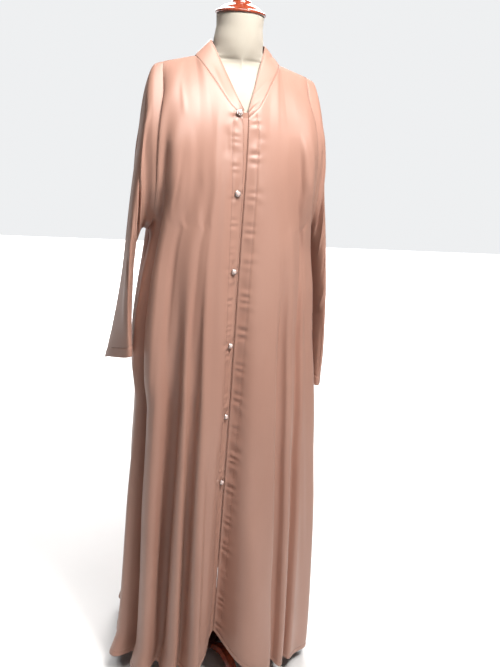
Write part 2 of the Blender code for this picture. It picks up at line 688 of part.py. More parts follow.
def cloak(finish):
    """All the cloth. Returns the wearer's right front, which carries the buttons."""
    grids = {name: panel_grid(name) for name in FOLDS}
    armhole_rows = YOKE_ROWS + 1 + len(ARMHOLE_HEIGHTS)
    sheets = []
    for side, name in (("right", "sleeve_right"), ("left", "sleeve_left")):
        front, back = grids[f"front_{side}"], grids[f"back_{side}"]
        loop, turn = armhole_loop(front, back, armhole_rows)
        sleeve = sleeve_grid(name, loop, turn)
        if side == "right":
            front, sleeve = mirrored(front), mirrored(sleeve)
        flip = side == "left"
        sheets.append({"name": f"front_{side}", "grid": front, "closed": False, "flip": flip,
                       "sewn": ("top", "last")})
        sheets.append({"name": name, "grid": sleeve, "closed": True, "flip": not flip,
                       "sewn": ("top",)})
    back = np.concatenate([mirrored(grids["back_right"])[:, :0:-1], grids["back_left"]], axis=1)
    sheets.append({"name": "back", "grid": back, "closed": False, "flip": False,
                   "sewn": ("top", "first", "last")})
    band = {"name": "neckband", "grid": neckband_grid(), "closed": False, "flip": True,
            "sewn": ("top",)}
    sheets.append(band)
    shared_normals(sheets)
    fronts = [sheet for sheet in sheets if sheet["name"].startswith("front")]
    lap = {"name": "underlap", "grid": underlap_grid(fronts, band), "closed": False,
           "flip": True, "sewn": ()}
    shared_normals([lap])
    for sheet in sheets + [lap]:
        cloth_solid(sheet, finish)
    return fronts[0]


# ---------------------------------------------------------------- turned parts
def turned(name, profile, finish, segments=TURNED_SEGMENTS, sharp_angle=35.0):
    """Spin a radius and height profile about the Z axis."""
    work = bmesh.new()
    rings = []
    for radius, height in profile:
        if radius == 0.0:
            rings.append([work.verts.new((0.0, 0.0, height))])
            continue
        rings.append([
            work.verts.new((radius * math.cos(a), radius * math.sin(a), height))
            for a in (2 * math.pi * k / segments for k in range(segments))
        ])
    for low, high in zip(rings, rings[1:]):
        for k in range(segments):
            j = (k + 1) % segments
            corners = [low[k % len(low)], low[j % len(low)],
                       high[j % len(high)], high[k % len(high)]]
            work.faces.new(list(dict.fromkeys(corners)))
    return add_object(name, work, finish, sharp_angle)


def buttons(front, finish):
    """Six domed buttons on short shanks, set on the wearer's right front."""
    for i in range(BUTTON_COUNT):
        spot, normal = front_spot(front, BUTTON_TOP - BUTTON_STEP * i, BUTTON_INSET)
        made = turned(f"button_{i + 1}", BUTTON, finish, BUTTON_SEGMENTS, 60.0)
        made.location = spot
        made.rotation_mode = "QUATERNION"
        made.rotation_quaternion = Vector((0.0, 0.0, 1.0)).rotation_difference(Vector(normal))


def form_torso(finish):
    """Torso and neck of the dress form, lofted through level sections."""
    work = bmesh.new()
    rings = []
    for z, half_width, middle, front, back, power in FORM:
        ring = []
        for k in range(FORM_SEGMENTS):
            angle = 2 * math.pi * k / FORM_SEGMENTS
            across, along = (
                math.copysign(abs(part) ** (2 / power), part) if abs(part) > 1e-9 else 0.0
                for part in (math.cos(angle), math.sin(angle))
            )
            depth = back - middle if along > 0 else middle - front
            ring.append(work.verts.new((half_width * across, middle + depth * along, z)))
        rings.append(ring)
    for low, high in zip(rings, rings[1:]):
        for k in range(FORM_SEGMENTS):
            j = (k + 1) % FORM_SEGMENTS
            work.faces.new((low[k], low[j], high[j], high[k]))
    work.faces.new(rings[0])
    work.faces.new(rings[-1])
    return add_object("form_torso", work, finish, 60.0)


def leg(index, finish):
    """One curved leg, swept through the stations of its table."""
    work = bmesh.new()
    rings = []
    for out, bottom, top, half_width in LEG:
        ring = [
            (half_width * 0.7, bottom), (half_width, bottom + (top - bottom) * 0.35),
            (half_width * 0.75, top - (top - bottom) * 0.12), (0.0, top),
            (-half_width * 0.75, top - (top - bottom) * 0.12),
            (-half_width, bottom + (top - bottom) * 0.35), (-half_width * 0.7, bottom),
        ]
        rings.append([work.verts.new((across, -out, height)) for across, height in ring])
    for near, far in zip(rings, rings[1:]):
        count = len(near)
        for k in range(count):
            j = (k + 1) % count
            work.faces.new((near[k], near[j], far[j], far[k]))
    work.faces.new(rings[0])
    work.faces.new(rings[-1])
    made = add_object(f"leg_{index + 1}", work, finish, 50.0)
    made.rotation_euler = (0.0, 0.0, math.radians(LEG_FIRST + 360.0 / LEG_COUNT * index))
    return made


def stand(wood, dark_wood, steel):
    """Pole, hub and legs."""
    turned("stand_hub", HUB, dark_wood)
    turned("stand_pole", ((0.0, POLE_BOTTOM), (POLE_RADIUS, POLE_BOTTOM),
                          (POLE_RADIUS, POLE_TOP), (0.0, POLE_TOP)), steel, 16)
    for index in range(LEG_COUNT):
        leg(index, wood)


def main():
    for old in list(bpy.data.objects):
        bpy.data.objects.remove(old, do_unlink=True)
    satin = material("satin", CLOTH_COLOUR, 0.38)
    linen = material("linen", LINEN_COLOUR, 0.85)
    wood = material("wood", WOOD_COLOUR, 0.25)
    dark_wood = material("dark_wood", DARK_WOOD_COLOUR, 0.3)
    steel = material("steel", STEEL_COLOUR, 0.3, 1.0)
    stone = material("stone", STONE_COLOUR, 0.15)
    front_right = cloak(satin)
    buttons(front_right, stone)
    form_torso(linen)
    cap = turned("form_neck_cap", NECK_CAP, wood)
    cap.location.y = NECK_MIDDLE_Y
    stand(wood, dark_wood, steel)


main()
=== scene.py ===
"""The looks of the abaya cloak on its dress form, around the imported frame.

Units are metres, +Z is up, -Y is the cloak's front and +X is the wearer's left. Each
cloth panel is a thin shell over the same surface as its solid in the frame, which the
tables below describe, with finer rows, soft creases, puckered stitching and hems.
"""
import math

import bpy
import numpy as np
from mathutils import Matrix, Vector


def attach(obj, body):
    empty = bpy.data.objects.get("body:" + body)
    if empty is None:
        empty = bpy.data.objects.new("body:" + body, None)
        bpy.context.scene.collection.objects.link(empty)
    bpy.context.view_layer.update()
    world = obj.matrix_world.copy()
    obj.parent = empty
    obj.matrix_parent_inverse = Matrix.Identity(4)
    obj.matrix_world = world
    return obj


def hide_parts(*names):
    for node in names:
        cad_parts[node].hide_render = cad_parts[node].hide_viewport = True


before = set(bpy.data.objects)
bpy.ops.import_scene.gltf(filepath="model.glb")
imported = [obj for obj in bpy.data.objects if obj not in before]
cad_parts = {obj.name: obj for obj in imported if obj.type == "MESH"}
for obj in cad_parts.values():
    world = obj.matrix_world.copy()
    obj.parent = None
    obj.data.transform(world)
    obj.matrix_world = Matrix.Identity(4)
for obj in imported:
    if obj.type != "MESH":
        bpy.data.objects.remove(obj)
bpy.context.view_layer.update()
scene = bpy.context.scene

# ---------------- camera
IMAGE_HEIGHT = 667  # pixels
FOCAL_PIXELS = 694.0  # lens length in pixels of that image
CAMERA_DISTANCE = 1.701  # level distance from the origin
CAMERA_HEIGHT = 1.41
CAMERA_YAW = math.radians(15.4)  # it stands this far towards the wearer's right
CAMERA_PAN = math.radians(2.82)
CAMERA_PITCH = math.radians(16.1)
CAMERA_ROLL = math.radians(5.1)
SENSOR_WIDTH = 36.0


def make_camera():
    """The camera stands in front, a little to one side, above the waist, looking down."""
    level = Vector((math.sin(CAMERA_YAW), math.cos(CAMERA_YAW), 0.0))
    side = Vector((math.cos(CAMERA_YAW), -math.sin(CAMERA_YAW), 0.0))
    ahead = level * math.cos(CAMERA_PAN) + side * math.sin(CAMERA_PAN)
    side = side * math.cos(CAMERA_PAN) - level * math.sin(CAMERA_PAN)
    upward = Vector((0.0, 0.0, 1.0))
    forward = ahead * math.cos(CAMERA_PITCH) - upward * math.sin(CAMERA_PITCH)
    above = ahead * math.sin(CAMERA_PITCH) + upward * math.cos(CAMERA_PITCH)
    x_axis = side * math.cos(CAMERA_ROLL) + above * math.sin(CAMERA_ROLL)
    y_axis = above * math.cos(CAMERA_ROLL) - side * math.sin(CAMERA_ROLL)
    lens = bpy.data.cameras.new("camera")
    lens.sensor_width = SENSOR_WIDTH
    lens.lens = SENSOR_WIDTH * FOCAL_PIXELS / IMAGE_HEIGHT
    made = bpy.data.objects.new("camera", lens)
    scene.collection.objects.link(made)
    turn = Matrix((x_axis, y_axis, -forward)).transposed().to_4x4()
    spot = upward * CAMERA_HEIGHT - level * CAMERA_DISTANCE
    made.matrix_world = Matrix.Translation(spot) @ turn
    scene.camera = made


make_camera()

# ---------------- sizes of the cloak
HEM_Z = 0.045  # height of the hem above the floor
HEM_DROP = 0.028  # at the wearer's left side it hangs this much lower
CORNER_RISE = 0.110  # the hem rises this much to the front corners
CORNER_REACH = 0.100  # and the rise fades out over this length
CORNER_FADE = 0.3  # and over this share of the width before the side seam
CHEST_Z = 1.400  # height where the sloped yoke turns into hanging cloth
UNDERARM_Z = 1.190  # height where the sleeve meets the side seam
SHOULDER_END = (0.170, -0.003, 1.546)  # where shoulder seam and armhole meet
SIDE_CALM = 0.030  # folds fade out over this length before a side seam
PLACKET = 0.026  # width of the stitched border beside each front edge
CLOTH = 0.002  # thickness of the solids' walls
SHELL = 0.0010  # thickness of the satin as it shows
SEAM_BACK = 0.00015  # each piece is drawn back this far from a seam
SEAM_GRAIN = 2e4  # steps in a metre: points of a seam that round to the same step are one
BUTTON_TOP, BUTTON_STEP, BUTTON_COUNT = 1.449, 0.172, 6
BUTTON_INSET = 0.0135  # from the front edge to the middle of a button
LAP_END = 0.540  # the under-lap ends at this height
LAP_RISE = 2 / 3  # and goes this share of the neckband up behind it
LAP_ROWS, LAP_CLEAR = 13, 0.0004
HEM_FOLD, CUFF_FOLD = 0.012, 0.024  # depths of the folded hem and cuff
FOLD_STEP, FOLD_SOFT = 0.0004, 0.003  # a folded hem stands proud, and rises over this length
BAND_STITCH = 0.0022  # the band's free edge is stitched this far in
STITCH_SINK, STITCH_SPREAD = 0.00090, 0.0025  # a line of stitches sinks into the cloth
SEAM_SINK, SEAM_SPREAD = 0.0005, 0.004  # and so does a seam
BAND_SPREAD = 0.0016  # how wide the band's stitches sink
SIDE_FADE, TOP_FADE = 0.012, 0.014  # a panel's soft detail fades out over these lengths
PUCKER_FADE, PLACKET_FADE = 0.03, 0.01  # and its puckers and sunk stitches over these
SLEEVE_FADE, BAND_FADE = 0.02, 0.008  # and so do the creases of sleeves and neckband
STITCH_LENGTH, STITCH_PITCH, STITCH_RADIUS = 0.0030, 0.0046, 0.00055
STITCH_FULL = (0.22, 0.78)  # a stitch has its full radius between these shares
STITCH_DIP = 0.6  # and its ends dip into the cloth by this share of the radius
EDGE_STITCH, BAND_SEAM_STITCH = 0.002, 0.003  # rows close to the front edges and band seam

NECK_COLUMNS = 6  # the solids' columns that start on the neckband seam
SHOULDER_COLUMNS = 15  # and those that start on the shoulder seam
BAND_ROWS = 18  # rows of faces up the neckband
YOKE_ROWS = 54  # rows of faces from the top seams to the chest
YOKE_PULL, YOKE_LIFT = 0.65, 0.55  # how strongly the yoke leaves the chest straight upwards
YOKE_AIM = 0.02  # towards the hanging cloth's own place this far above the chest
ARMHOLE_ROWS = 72  # from there to the underarm
SKIRT_ROWS = 400  # and from there to the hem
SLEEVE_ROWS = 250  # rings of faces along a sleeve
SEAM_ROWS = YOKE_ROWS + 1 + ARMHOLE_ROWS  # rows of points along an armhole
PLAN_POINTS, PLAN_REACH = 641, 0.004  # points of a plan, and how far a tangent reaches
COLUMN_STEP = 0.0072  # width of a column at the hem
EDGE_STEP = 0.0030  # and beside the front edges
LEAST_COLUMN = 0.25  # a fold adds no column narrower than this share of an even one
COLUMN_CALM = 24  # passes that even out the columns where guides run close
PUCKER_REACH = 0.055  # the close columns go this far in from a front edge
CHEST_BEND = (16, 220)  # rows each way and passes that round the bend at the chest
WAIST_BEND = (26, 500)  # and at the underarm
WAIST_SIDE = 0.15  # where it fades out over this share of the width beside the seam
EASE = 0.85  # an armhole seam is eased this share of the way to its sides
EASE_REACH = 0.055  # which are this far away
EASE_ROWS, EASE_SPREAD = 24, 10.0  # rows each way that the easing is evened out over
SHOULDER_CALM = 26.0  # rows from the shoulder point over which the easing sets in


def milli(table, plain=(), columns=0):
    """A table written in millimetres and thousandths, apart from its plain columns."""
    if isinstance(table, dict):
        return {name: milli(rows, plain, columns) for name, rows in table.items()}
    return tuple(
        tuple(value if i in plain else value / 1000 for i, value in enumerate(row))
        + (0.0,) * (columns - len(row)) for row in table
    )


# Plan of the body by height: the edges' x on the wearer's right and left, the edges' y
# of front and back, the middles' y of front and back, and the curve's power. An edge is
# where a panel ends, at the armhole above the underarm and at the side seam below it.
BODY = milli((
    (1440, 190, 190, -52, 54, -106.5, 96, 2.8), (1400, 190, 190, -60, 62, -118, 104, 2.8),
    (1300, 187, 187, -61, 64, -138, 116, 2.8), (1250, 184, 184, -50, 53, -143, 121, 2.9),
    (1212, 182, 182, -27, 29, -146, 124, 3.3), (1190, 182, 182, 0, 0, -148, 126, 3.7),
    (1050, 203, 203, 0, 0, -162, 139, 3.1), (920, 214, 218, 0, 0, -176, 155, 2.7),
    (840, 212, 230, 0, 0, -185, 166, 2.6), (740, 200, 240, 0, 0, -196, 180, 2.6),
    (600, 202, 252, 0, 0, -211, 200, 2.5), (450, 205, 265, 0, 0, -227, 221, 2.5),
    (280, 205, 273, 0, 0, -245, 246, 2.5), (120, 207, 278, 0, 0, -262, 265, 2.5),
    (45, 226, 279, 0, 0, -269, 270, 2.5),
), plain=(7,))

# Half the opening between the two front edges, by height.
EDGE = milli((
    (1457, 6), (1400, 4.5), (1280, 1.8), (1000, 0.8), (600, 0.5), (500, 0.3), (350, 0.2),
    (220, 0.2), (140, 0.2),
))

# Hanging folds: start, place at start, place at hem, width at start, width at hem, depth,
# growth, lean. Each starts at a height and runs to the hem. Places are shares of the
# panel's width from its middle edge; depth is outward, so a valley is negative. It is
# reached at the hem, and growth bends its way there: below 1 the fold deepens early.
# A fold that leans, in degrees, slants under the cloth on its outer side.
FOLDS = milli({
    "front_right": (
        (1450, 0, 0, 18, 36, -90, 1.4), (1420, 300, 150, 10, 22, 12, 0.6),
        (1330, 330, 240, 11, 12, -46, 0.9, 22), (1400, 500, 420, 24, 20, -62, 0.8, 28),
        (1420, 660, 530, 20, 36, 14, 0.5), (1430, 810, 690, 18, 13, -46, 0.5, 28),
        (1210, 900, 790, 14, 36, 34, 1.3),
    ),
    "front_left": (
        (1450, 0, 0, 18, 38, -90, 1.4), (1300, 240, 210, 50, 60, 8, 1),
        (1180, 370, 360, 12, 13, -38, 0.9, 24), (1380, 600, 480, 12, 12, -38, 0.6, 30),
        (1430, 750, 710, 16, 32, 32, 0.5),
    ),
    "back_right": (
        (1300, 180, 200, 20, 18, -45, 0.8), (1350, 450, 460, 18, 18, -50, 0.8),
        (1250, 700, 720, 16, 16, -40, 0.8),
    ),
    "back_left": (
        (1330, 220, 250, 20, 18, -48, 0.8), (1300, 500, 520, 18, 18, -45, 0.8),
        (1250, 740, 750, 16, 16, -42, 0.8),
    ),
}, plain=(6, 7), columns=8)
FOLD_STOPS = (-1.8, -0.8, 0.0, 0.8, 1.8)  # columns set round each fold, in widths

# The neck end of the shoulder seam, as a share of a panel's width at chest and hem.
NECK_CORNER = {"front_right": (0.46, 0.34), "front_left": (0.46, 0.47),
               "back_right": (0.46, 0.34), "back_left": (0.46, 0.40)}

# Points of the seam between the neckband and the panels, and of the band's free edge.
NECK_FRONT = milli((
    (6, -106, 1440, 6, -103.5, 1457), (35, -93, 1468, 21.5, -75, 1496),
    (69, -56, 1520, 40, -41, 1543), (92, -25, 1553, 55, -15, 1580), (101, -3, 1565, 64, 3, 1603),
))
NECK_BACK = milli((
    (101, -3, 1565, 64, 3, 1603), (96, 30, 1563, 60, 33, 1606), (72, 62, 1559, 44, 57, 1605),
    (38, 80, 1556, 23, 70, 1603), (0, 85, 1555, 0, 74, 1602),
))

# Sleeves, by share of their length: points of four lines that run from armhole to cuff,
# over the arm, along the front, under the arm and along the back.
SLEEVES = milli({
    "sleeve_right": (
        (0, 170, -3, 1546, 189, -61, 1350, 182, 0, 1190, 189, 63, 1350),
        (60, 191, -1, 1537, 200, -67, 1340, 194, 0, 1186, 199, 68, 1340),
        (140, 204, 0, 1505, 212, -70, 1312, 205, 0, 1168, 209, 69, 1312),
        (280, 214, 2, 1415, 223, -73, 1240, 216, 1, 1127, 217, 70, 1240),
        (450, 229, 5, 1265, 238, -76, 1140, 218, 3, 1070, 226, 70, 1140),
        (640, 238, 8, 1090, 240, -80, 1035, 219, 4, 995, 236, 71, 1020),
        (840, 255, 10, 940, 236, -84, 940, 223, 4, 925, 250, 70, 910),
        (1000, 271, 10, 850, 232, -86, 880, 227, 4, 865, 262, 67, 832),
    ),
    "sleeve_left": (
        (0, 170, -3, 1546, 189, -61, 1350, 182, 0, 1190, 189, 63, 1350),
        (60, 192, -1, 1536, 201, -67, 1337, 194, 0, 1186, 200, 69, 1337),
        (140, 204, 0, 1498, 212, -70, 1305, 205, 0, 1165, 210, 71, 1305),
        (280, 215, 1, 1395, 225, -73, 1220, 217, 1, 1115, 219, 71, 1220),
        (450, 236, 1, 1235, 242, -74, 1110, 226, 2, 1045, 229, 70, 1110),
        (640, 256, 0, 1050, 254, -79, 985, 236, 2, 955, 245, 72, 975),
        (840, 278, 0, 880, 257, -84, 860, 244, 2, 855, 265, 73, 850),
        (1000, 288, 0, 808, 254, -88, 797, 250, 2, 806, 274, 72, 793),
    ),
})
SLEEVE_MEND = 0.30  # share of the sleeve that settles the armhole's own outline

# A deep crease pressed into each sleeve: share, angle, their widths and depth inward.
CREASES = {"sleeve_right": (0.27, 118.0, 0.035, 34.0, 0.026),
           "sleeve_left": (0.22, 112.0, 0.030, 24.0, 0.014)}

# Soft creases of the panels, beyond the folds: from share, from z, to share, to z,
# width, depth, bow, skew. share is the part of the panel's width from its middle edge.
# depth is outward, and skew makes one side of a crease gentler than the other.
STROKES = milli({
    "front_right": (
        (700, 1515, 620, 1425, 6, 1.5, 2), (690, 1435, 730, 1240, 12, 3.4),
        (800, 1385, 830, 1215, 18, -6), (550, 1425, 440, 1200, 9, 2.8, 2),
        (620, 1395, 540, 1190, 5, -2.4), (440, 1330, 300, 1160, 5, -1.8, 2),
        (180, 1425, 170, 1345, 10, -1.8), (420, 1400, 340, 960, 6, 2.2, 4),
        (200, 1380, 150, 900, 10, 1.8, 3), (330, 1300, 290, 760, 5, -2.4),
        (590, 1360, 500, 700, 8, 3, 5), (700, 1330, 600, 620, 7, -2.8, -4),
        (740, 1100, 660, 300, 10, 3.2), (460, 950, 400, 130, 12, 2.5, 6),
        (110, 1100, 80, 620, 14, 2.2), (70, 760, 50, 300, 16, -2.2, 4),
        (270, 820, 200, 160, 10, 2.8, 4), (880, 1150, 820, 540, 14, -4),
        (444, 1160, 428, -60, 12, -24, 0, 200), (292, 1140, 240, -60, 7, -13, 0, 300),
        (150, 800, 112, -40, 10, -9),
    ),
    "front_left": (
        (440, 1520, 550, 1400, 18, -1.4), (630, 1430, 710, 1260, 9, 3.4),
        (580, 1420, 620, 1240, 6, -2.6), (470, 1375, 410, 1140, 12, -2, 3),
        (570, 1400, 540, 980, 6, -2.2, 3), (690, 1340, 660, 820, 6, -2.6),
        (880, 1260, 840, 700, 10, 3, 4), (460, 1060, 500, 640, 8, 2.4, -5),
        (300, 1180, 300, 520, 22, -2), (160, 560, 220, 180, 20, 2.8, 10),
        (200, 740, 140, 420, 18, -2), (630, 760, 660, 180, 10, 3, 5),
        (330, 420, 300, 120, 16, -2.2), (930, 900, 900, 260, 14, -3.4),
        (362, 1180, 356, -70, 9, -16, 0, -300), (555, 1200, 487, -70, 7, -12, 0, -300),
    ),
    "back_right": (
        (620, 1500, 700, 1380, 16, -2), (100, 1430, 140, 1250, 18, -1.6),
        (320, 1360, 330, 960, 10, 2.6, 4), (580, 1300, 570, 700, 9, -2.8, 4),
        (80, 1200, 90, 560, 14, 2.4), (360, 900, 330, 240, 12, 3, -5),
        (840, 1240, 850, 600, 10, -3), (610, 820, 640, 160, 12, 2.6, 4),
        (860, 620, 860, -160, 50, -13),
    ),
    "back_left": (
        (580, 1490, 680, 1370, 18, -1.8), (130, 1400, 120, 1180, 16, -1.8),
        (360, 1330, 380, 880, 9, 2.8, -4), (620, 1260, 630, 640, 10, -2.6),
        (100, 1050, 120, 420, 16, 2.6, 5), (400, 760, 370, 150, 14, 2.8),
        (870, 1180, 860, 520, 11, -3.2, 4), (660, 700, 620, 240, 10, 2.4, -4),
    ),
}, columns=8)

# Creases of the sleeves: from angle, from share, to angle, to share, width, depth, bow.
# The angle goes round the sleeve: 0 over the arm, 90 in front, 180 under, 270 behind.
SLEEVE_STROKES = milli({
    "sleeve_right": (
        (48, 60, 92, 270, 8, 5, -6), (30, 100, 62, 340, 14, -3), (70, 300, 120, 360, 6, 4),
        (60, 420, 112, 500, 10, -3.2, 4), (88, 470, 135, 570, 8, 3),
        (40, 560, 104, 660, 9, -2.4), (30, 400, 60, 900, 16, 2.6),
        (100, 600, 96, 960, 13, -3.2, 4), (300, 120, 260, 340, 10, 4, 6),
        (250, 240, 215, 300, 8, -4.2), (310, 360, 262, 480, 10, -3),
        (240, 460, 285, 580, 9, 2.8), (255, 640, 250, 950, 14, -3),
    ),
    "sleeve_left": (
        (52, 50, 88, 220, 10, 4, -6), (28, 80, 48, 400, 15, -2.6), (75, 260, 128, 320, 6, 3.4),
        (64, 380, 110, 460, 10, -3), (84, 520, 130, 600, 9, 2.6, 4), (46, 440, 58, 940, 16, 2.4),
        (104, 620, 98, 950, 12, -3), (302, 100, 268, 300, 11, 3.8, 6),
        (252, 220, 218, 290, 8, -4), (300, 400, 256, 500, 9, -2.8),
        (246, 520, 292, 640, 10, 2.6), (262, 620, 256, 940, 13, -2.8),
    ),
}, plain=(0, 2), columns=8)

# Creases of the neckband, by distance along it and up it.
STROKE_END = 0.35  # a crease fades over this share of its length at either end
BAND_STROKES = milli((
    (205, 2, 235, 36, 4, 2.2, 2), (228, 0, 262, 30, 3.5, -1.8, -2), (75, 2, 140, 20, 5, 1.2),
    (330, 4, 350, 34, 6, 1.4), (440, 2, 455, 36, 5, -1.4), (535, 2, 560, 34, 5, 1.6, 2),
    (600, 4, 660, 22, 5, -1.2),
), columns=8)

# Puckers beside the front edges, where two layers are sewn: a band of short level
# waves at a distance from the edge, reaching further out than in.
# middle, reach in, reach out, depth, period, slant, start.
PUCKERS = {
    "front_right": ((0.0200, 0.0100, 0.0080, 0.00095, 0.0200, 0.04, 0.7),
                    (0.0120, 0.0080, 0.0100, 0.00035, 0.0310, -0.10, 2.0)),
    "front_left": ((0.0180, 0.0110, 0.0120, 0.00140, 0.0265, 0.03, 0.3),
                   (0.0310, 0.0120, 0.0150, 0.00055, 0.0410, -0.10, 1.1)),
}

CREST_MOVES = ((0.30, 2.1), (0.22, 0.83))  # how far and how often the crests shift
CREST_HEIGHT, CREST_PACES = (0.60, 0.40), (1.27, 0.41)  # mean and swing, and how often
# Height, distance and width of the creases round a button, and its hollow's depth and width.
BUTTON_RAYS, BUTTON_HOLLOW = (0.0007, 0.015, 0.010), (0.0010, 0.010)

# Profiles of the buttons' parts, as radius and height above the cloth.
BUTTON_RIM = milli((
    (0, 2.8), (4, 2.8), (6.6, 3.1), (7.3, 4), (7.2, 5), (6.4, 5.6), (5.8, 5.2), (5.6, 4.4),
    (0, 4.2),
))
BUTTON_DOME = milli((
    (0, 4.5), (5.7, 4.5), (5.8, 5.6), (5.2, 7.2), (3.8, 8.6), (2, 9.2), (0, 9.3),
))
BUTTON_SHANK = milli((
    (0, -0.6), (2.2, -0.6), (1.6, 1.2), (1.8, 2.9), (0, 2.9),
))

# Dress form: level sections of torso and neck: z, half width, the y of the widest
# points, front, back and power.
FORM = milli((
    (872, 140, 5, -88, 98, 2.2), (885, 158, 5, -103, 115, 2.2), (930, 164, 5, -110, 122, 2.2),
    (1000, 152, 4, -103, 112, 2.2), (1100, 120, 0, -88, 88, 2.2), (1190, 128, -4, -106, 90, 2.2),
    (1270, 142, -6, -124, 96, 2.2), (1330, 150, -6, -121, 96, 2.2),
    (1400, 158, -4, -106, 92, 2.2), (1450, 164, -3, -94, 85, 2.1),
    (1500, 168, -3, -64, 68, 1.35), (1530, 165, -3, -46, 62, 0.9),
    (1543.5, 160, -3, -41, 60, 0.78), (1555.5, 123.5, -3, -38, 58, 0.76),
    (1564, 83, -2, -37, 57, 0.95), (1574, 62.5, 2, -38, 57, 1.6), (1588, 58, 5, -44, 57, 1.9),
    (1608, 57.5, 5, -48, 58, 2), (1635, 53, 5, -48, 58, 2), (1661, 54.5, 5, -49.5, 59.5, 2),
), plain=(5,))
NECK_MIDDLE_Y = 0.005
FORM_STEPS, FORM_SEGMENTS = 4, 96  # faces between two sections, and round one
FORM_EASE = 0.996  # the cover lies this close inside its solid's widest points
FORM_GIRTH = 0.95  # round the torso, for the weave
FORM_CALM_X = 0.095  # the throat is smoothed this far to either side
FORM_CALM_LOW, FORM_CALM_HIGH = 1.460, 1.650  # between these heights
FORM_CALM_FADE = 0.03  # and this softly at the limits
FORM_CALM_PASSES, FORM_CALM_SHARE = 60, 0.8  # by this share in each pass
FORM_END_SCALE = 0.3  # of the weave on its two ends
TURNED_SEGMENTS = 72  # round the cap and the hub

# Turned parts, as radius and height profiles from the bottom to the top.
NECK_CAP = milli((
    (0, 1661.3), (55, 1661.3), (57.5, 1663), (57, 1666), (49, 1670), (42, 1676.5), (30, 1682),
    (23.5, 1685), (21.5, 1690), (13, 1695), (12, 1701), (18.5, 1708), (21, 1717), (18, 1726),
    (9.5, 1732), (0, 1733.5),
))
HUB = milli((
    (0, 22), (90, 22), (100, 27), (102, 35), (96, 43), (70, 52), (48, 60), (38, 75), (35, 110),
    (30, 135), (24, 145), (0, 145),
))

FLOOR_SIZE = 14.0
FLOOR_PALE_FROM, FLOOR_PALE_TO = 1.2, 4.0  # the floor is seen pale between these distances
# Lights: name, place, what it points at, size, power and colour.
LIGHTS = (
    ("key", (0.46, -1.25, 2.95), (0.0, 0.0, 1.05), 0.5, 66.0, (1.0, 0.975, 0.95)),
    ("top", (-0.10, -0.75, 3.00), (0.0, -0.1, 1.40), 0.6, 28.0, (1.0, 0.98, 0.96)),
    ("fill", (0.90, -3.30, 1.20), (0.0, 0.0, 0.50), 1.2, 7.0, (1.0, 0.98, 0.97)),
    ("floor", (0.90, 3.40, 3.60), (0.9, 2.8, 0.0), 3.5, 250.0, (1.0, 1.0, 1.0)),
    ("far_floor", (1.20, 6.20, 3.60), (1.2, 5.8, 0.0), 4.5, 330.0, (1.0, 1.0, 1.0)),
)
# The room lights the cloak as if dark all round, with a pale wall straight behind it.
ROOM_DARK, ROOM_PALE = (0.030, 0.030, 0.033), (0.86, 0.87, 0.88)
WALL_FROM, WALL_TO = 0.82, 0.90  # cosine of the angle from straight behind

# Each cloth piece: its flat size, width by length, its flat area, and how it is held.
SHEETS = (
    ("front_right", (0.71, 1.56), 0.645, "draped"),
    ("front_left", (0.64, 1.59), 0.60, "draped"),
    ("back", (1.12, 1.60), 1.10, "draped"),
    ("sleeve_right", (0.48, 0.72), 0.176, "draped"),
    ("sleeve_left", (0.48, 0.76), 0.192, "draped"),
    ("neckband", (0.69, 0.057), 0.027, "draped"),
    ("underlap", (0.088, 0.96), 0.061, "hung"),
)


# ---------------- small helpers
def read(table, places):
    """A table's other columns at places in its first, on smooth lines without overshoot."""
    keys, *values = np.array(sorted(table)).T
    values, widths = np.array(values), np.diff(keys)
    steps = np.diff(values) / widths
    product = steps[:, :-1] * steps[:, 1:]
    total = np.where(product > 0, steps[:, :-1] + steps[:, 1:], 1.0)
    middle = np.where(product > 0, 2 * product / total, 0.0)
    slopes = np.concatenate([steps[:, :1], middle, steps[:, -1:]], axis=1)
    places = np.clip(np.asarray(places, dtype=float), keys[0], keys[-1])
    i = np.clip(np.searchsorted(keys, places) - 1, 0, len(keys) - 2)
    t, width = (places - keys[i]) / widths[i], widths[i]
    return ((1 + 2 * t) * (1 - t) ** 2 * values[:, i] + t * (1 - t) ** 2 * width * slopes[:, i]
            + t * t * (3 - 2 * t) * values[:, i + 1] + t * t * (t - 1) * width * slopes[:, i + 1])


def fade(value):
    """Ease from 0 to 1."""
    value = np.clip(value, 0.0, 1.0)
    return value * value * (3 - 2 * value)


def bell(distance, width):
    """1 at distance 0, and hardly anything two widths away."""
    return np.exp(-((distance / width) ** 2))


def unit(vectors):
    """Scale vectors to length 1."""
    return vectors / np.maximum(np.linalg.norm(vectors, axis=-1, keepdims=True), 1e-12)


def mirrored(grid):
    """The same points on the -X side."""
    return grid * np.array([-1.0, 1.0, 1.0])


def runs(grid, axis):
    """Length along a grid's rows or columns, from its first line."""
    steps = np.linalg.norm(np.diff(grid, axis=axis), axis=2)
    start = np.zeros_like(np.take(steps, [0], axis=axis))
    return np.concatenate([start, np.cumsum(steps, axis=axis)], axis=axis)


def arc(line):
    """Length along a line of points, from its start."""
    return runs(line[None], 1)[0]


def at(line, run, places):
    """Points on a line, where run gives its own points' distances."""
    return np.stack([np.interp(places, run, axis) for axis in line.T], axis=-1)


def keep(piece, slot, *nodes):
    """The piece rides on the body and stands for the solids, which it hides. Its slot is not used.
    """
    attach(piece, "root")
    if nodes:
        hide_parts(*nodes)
    return piece


# ---------------- panel surface
def is_back(panel):
    return panel.startswith("back")


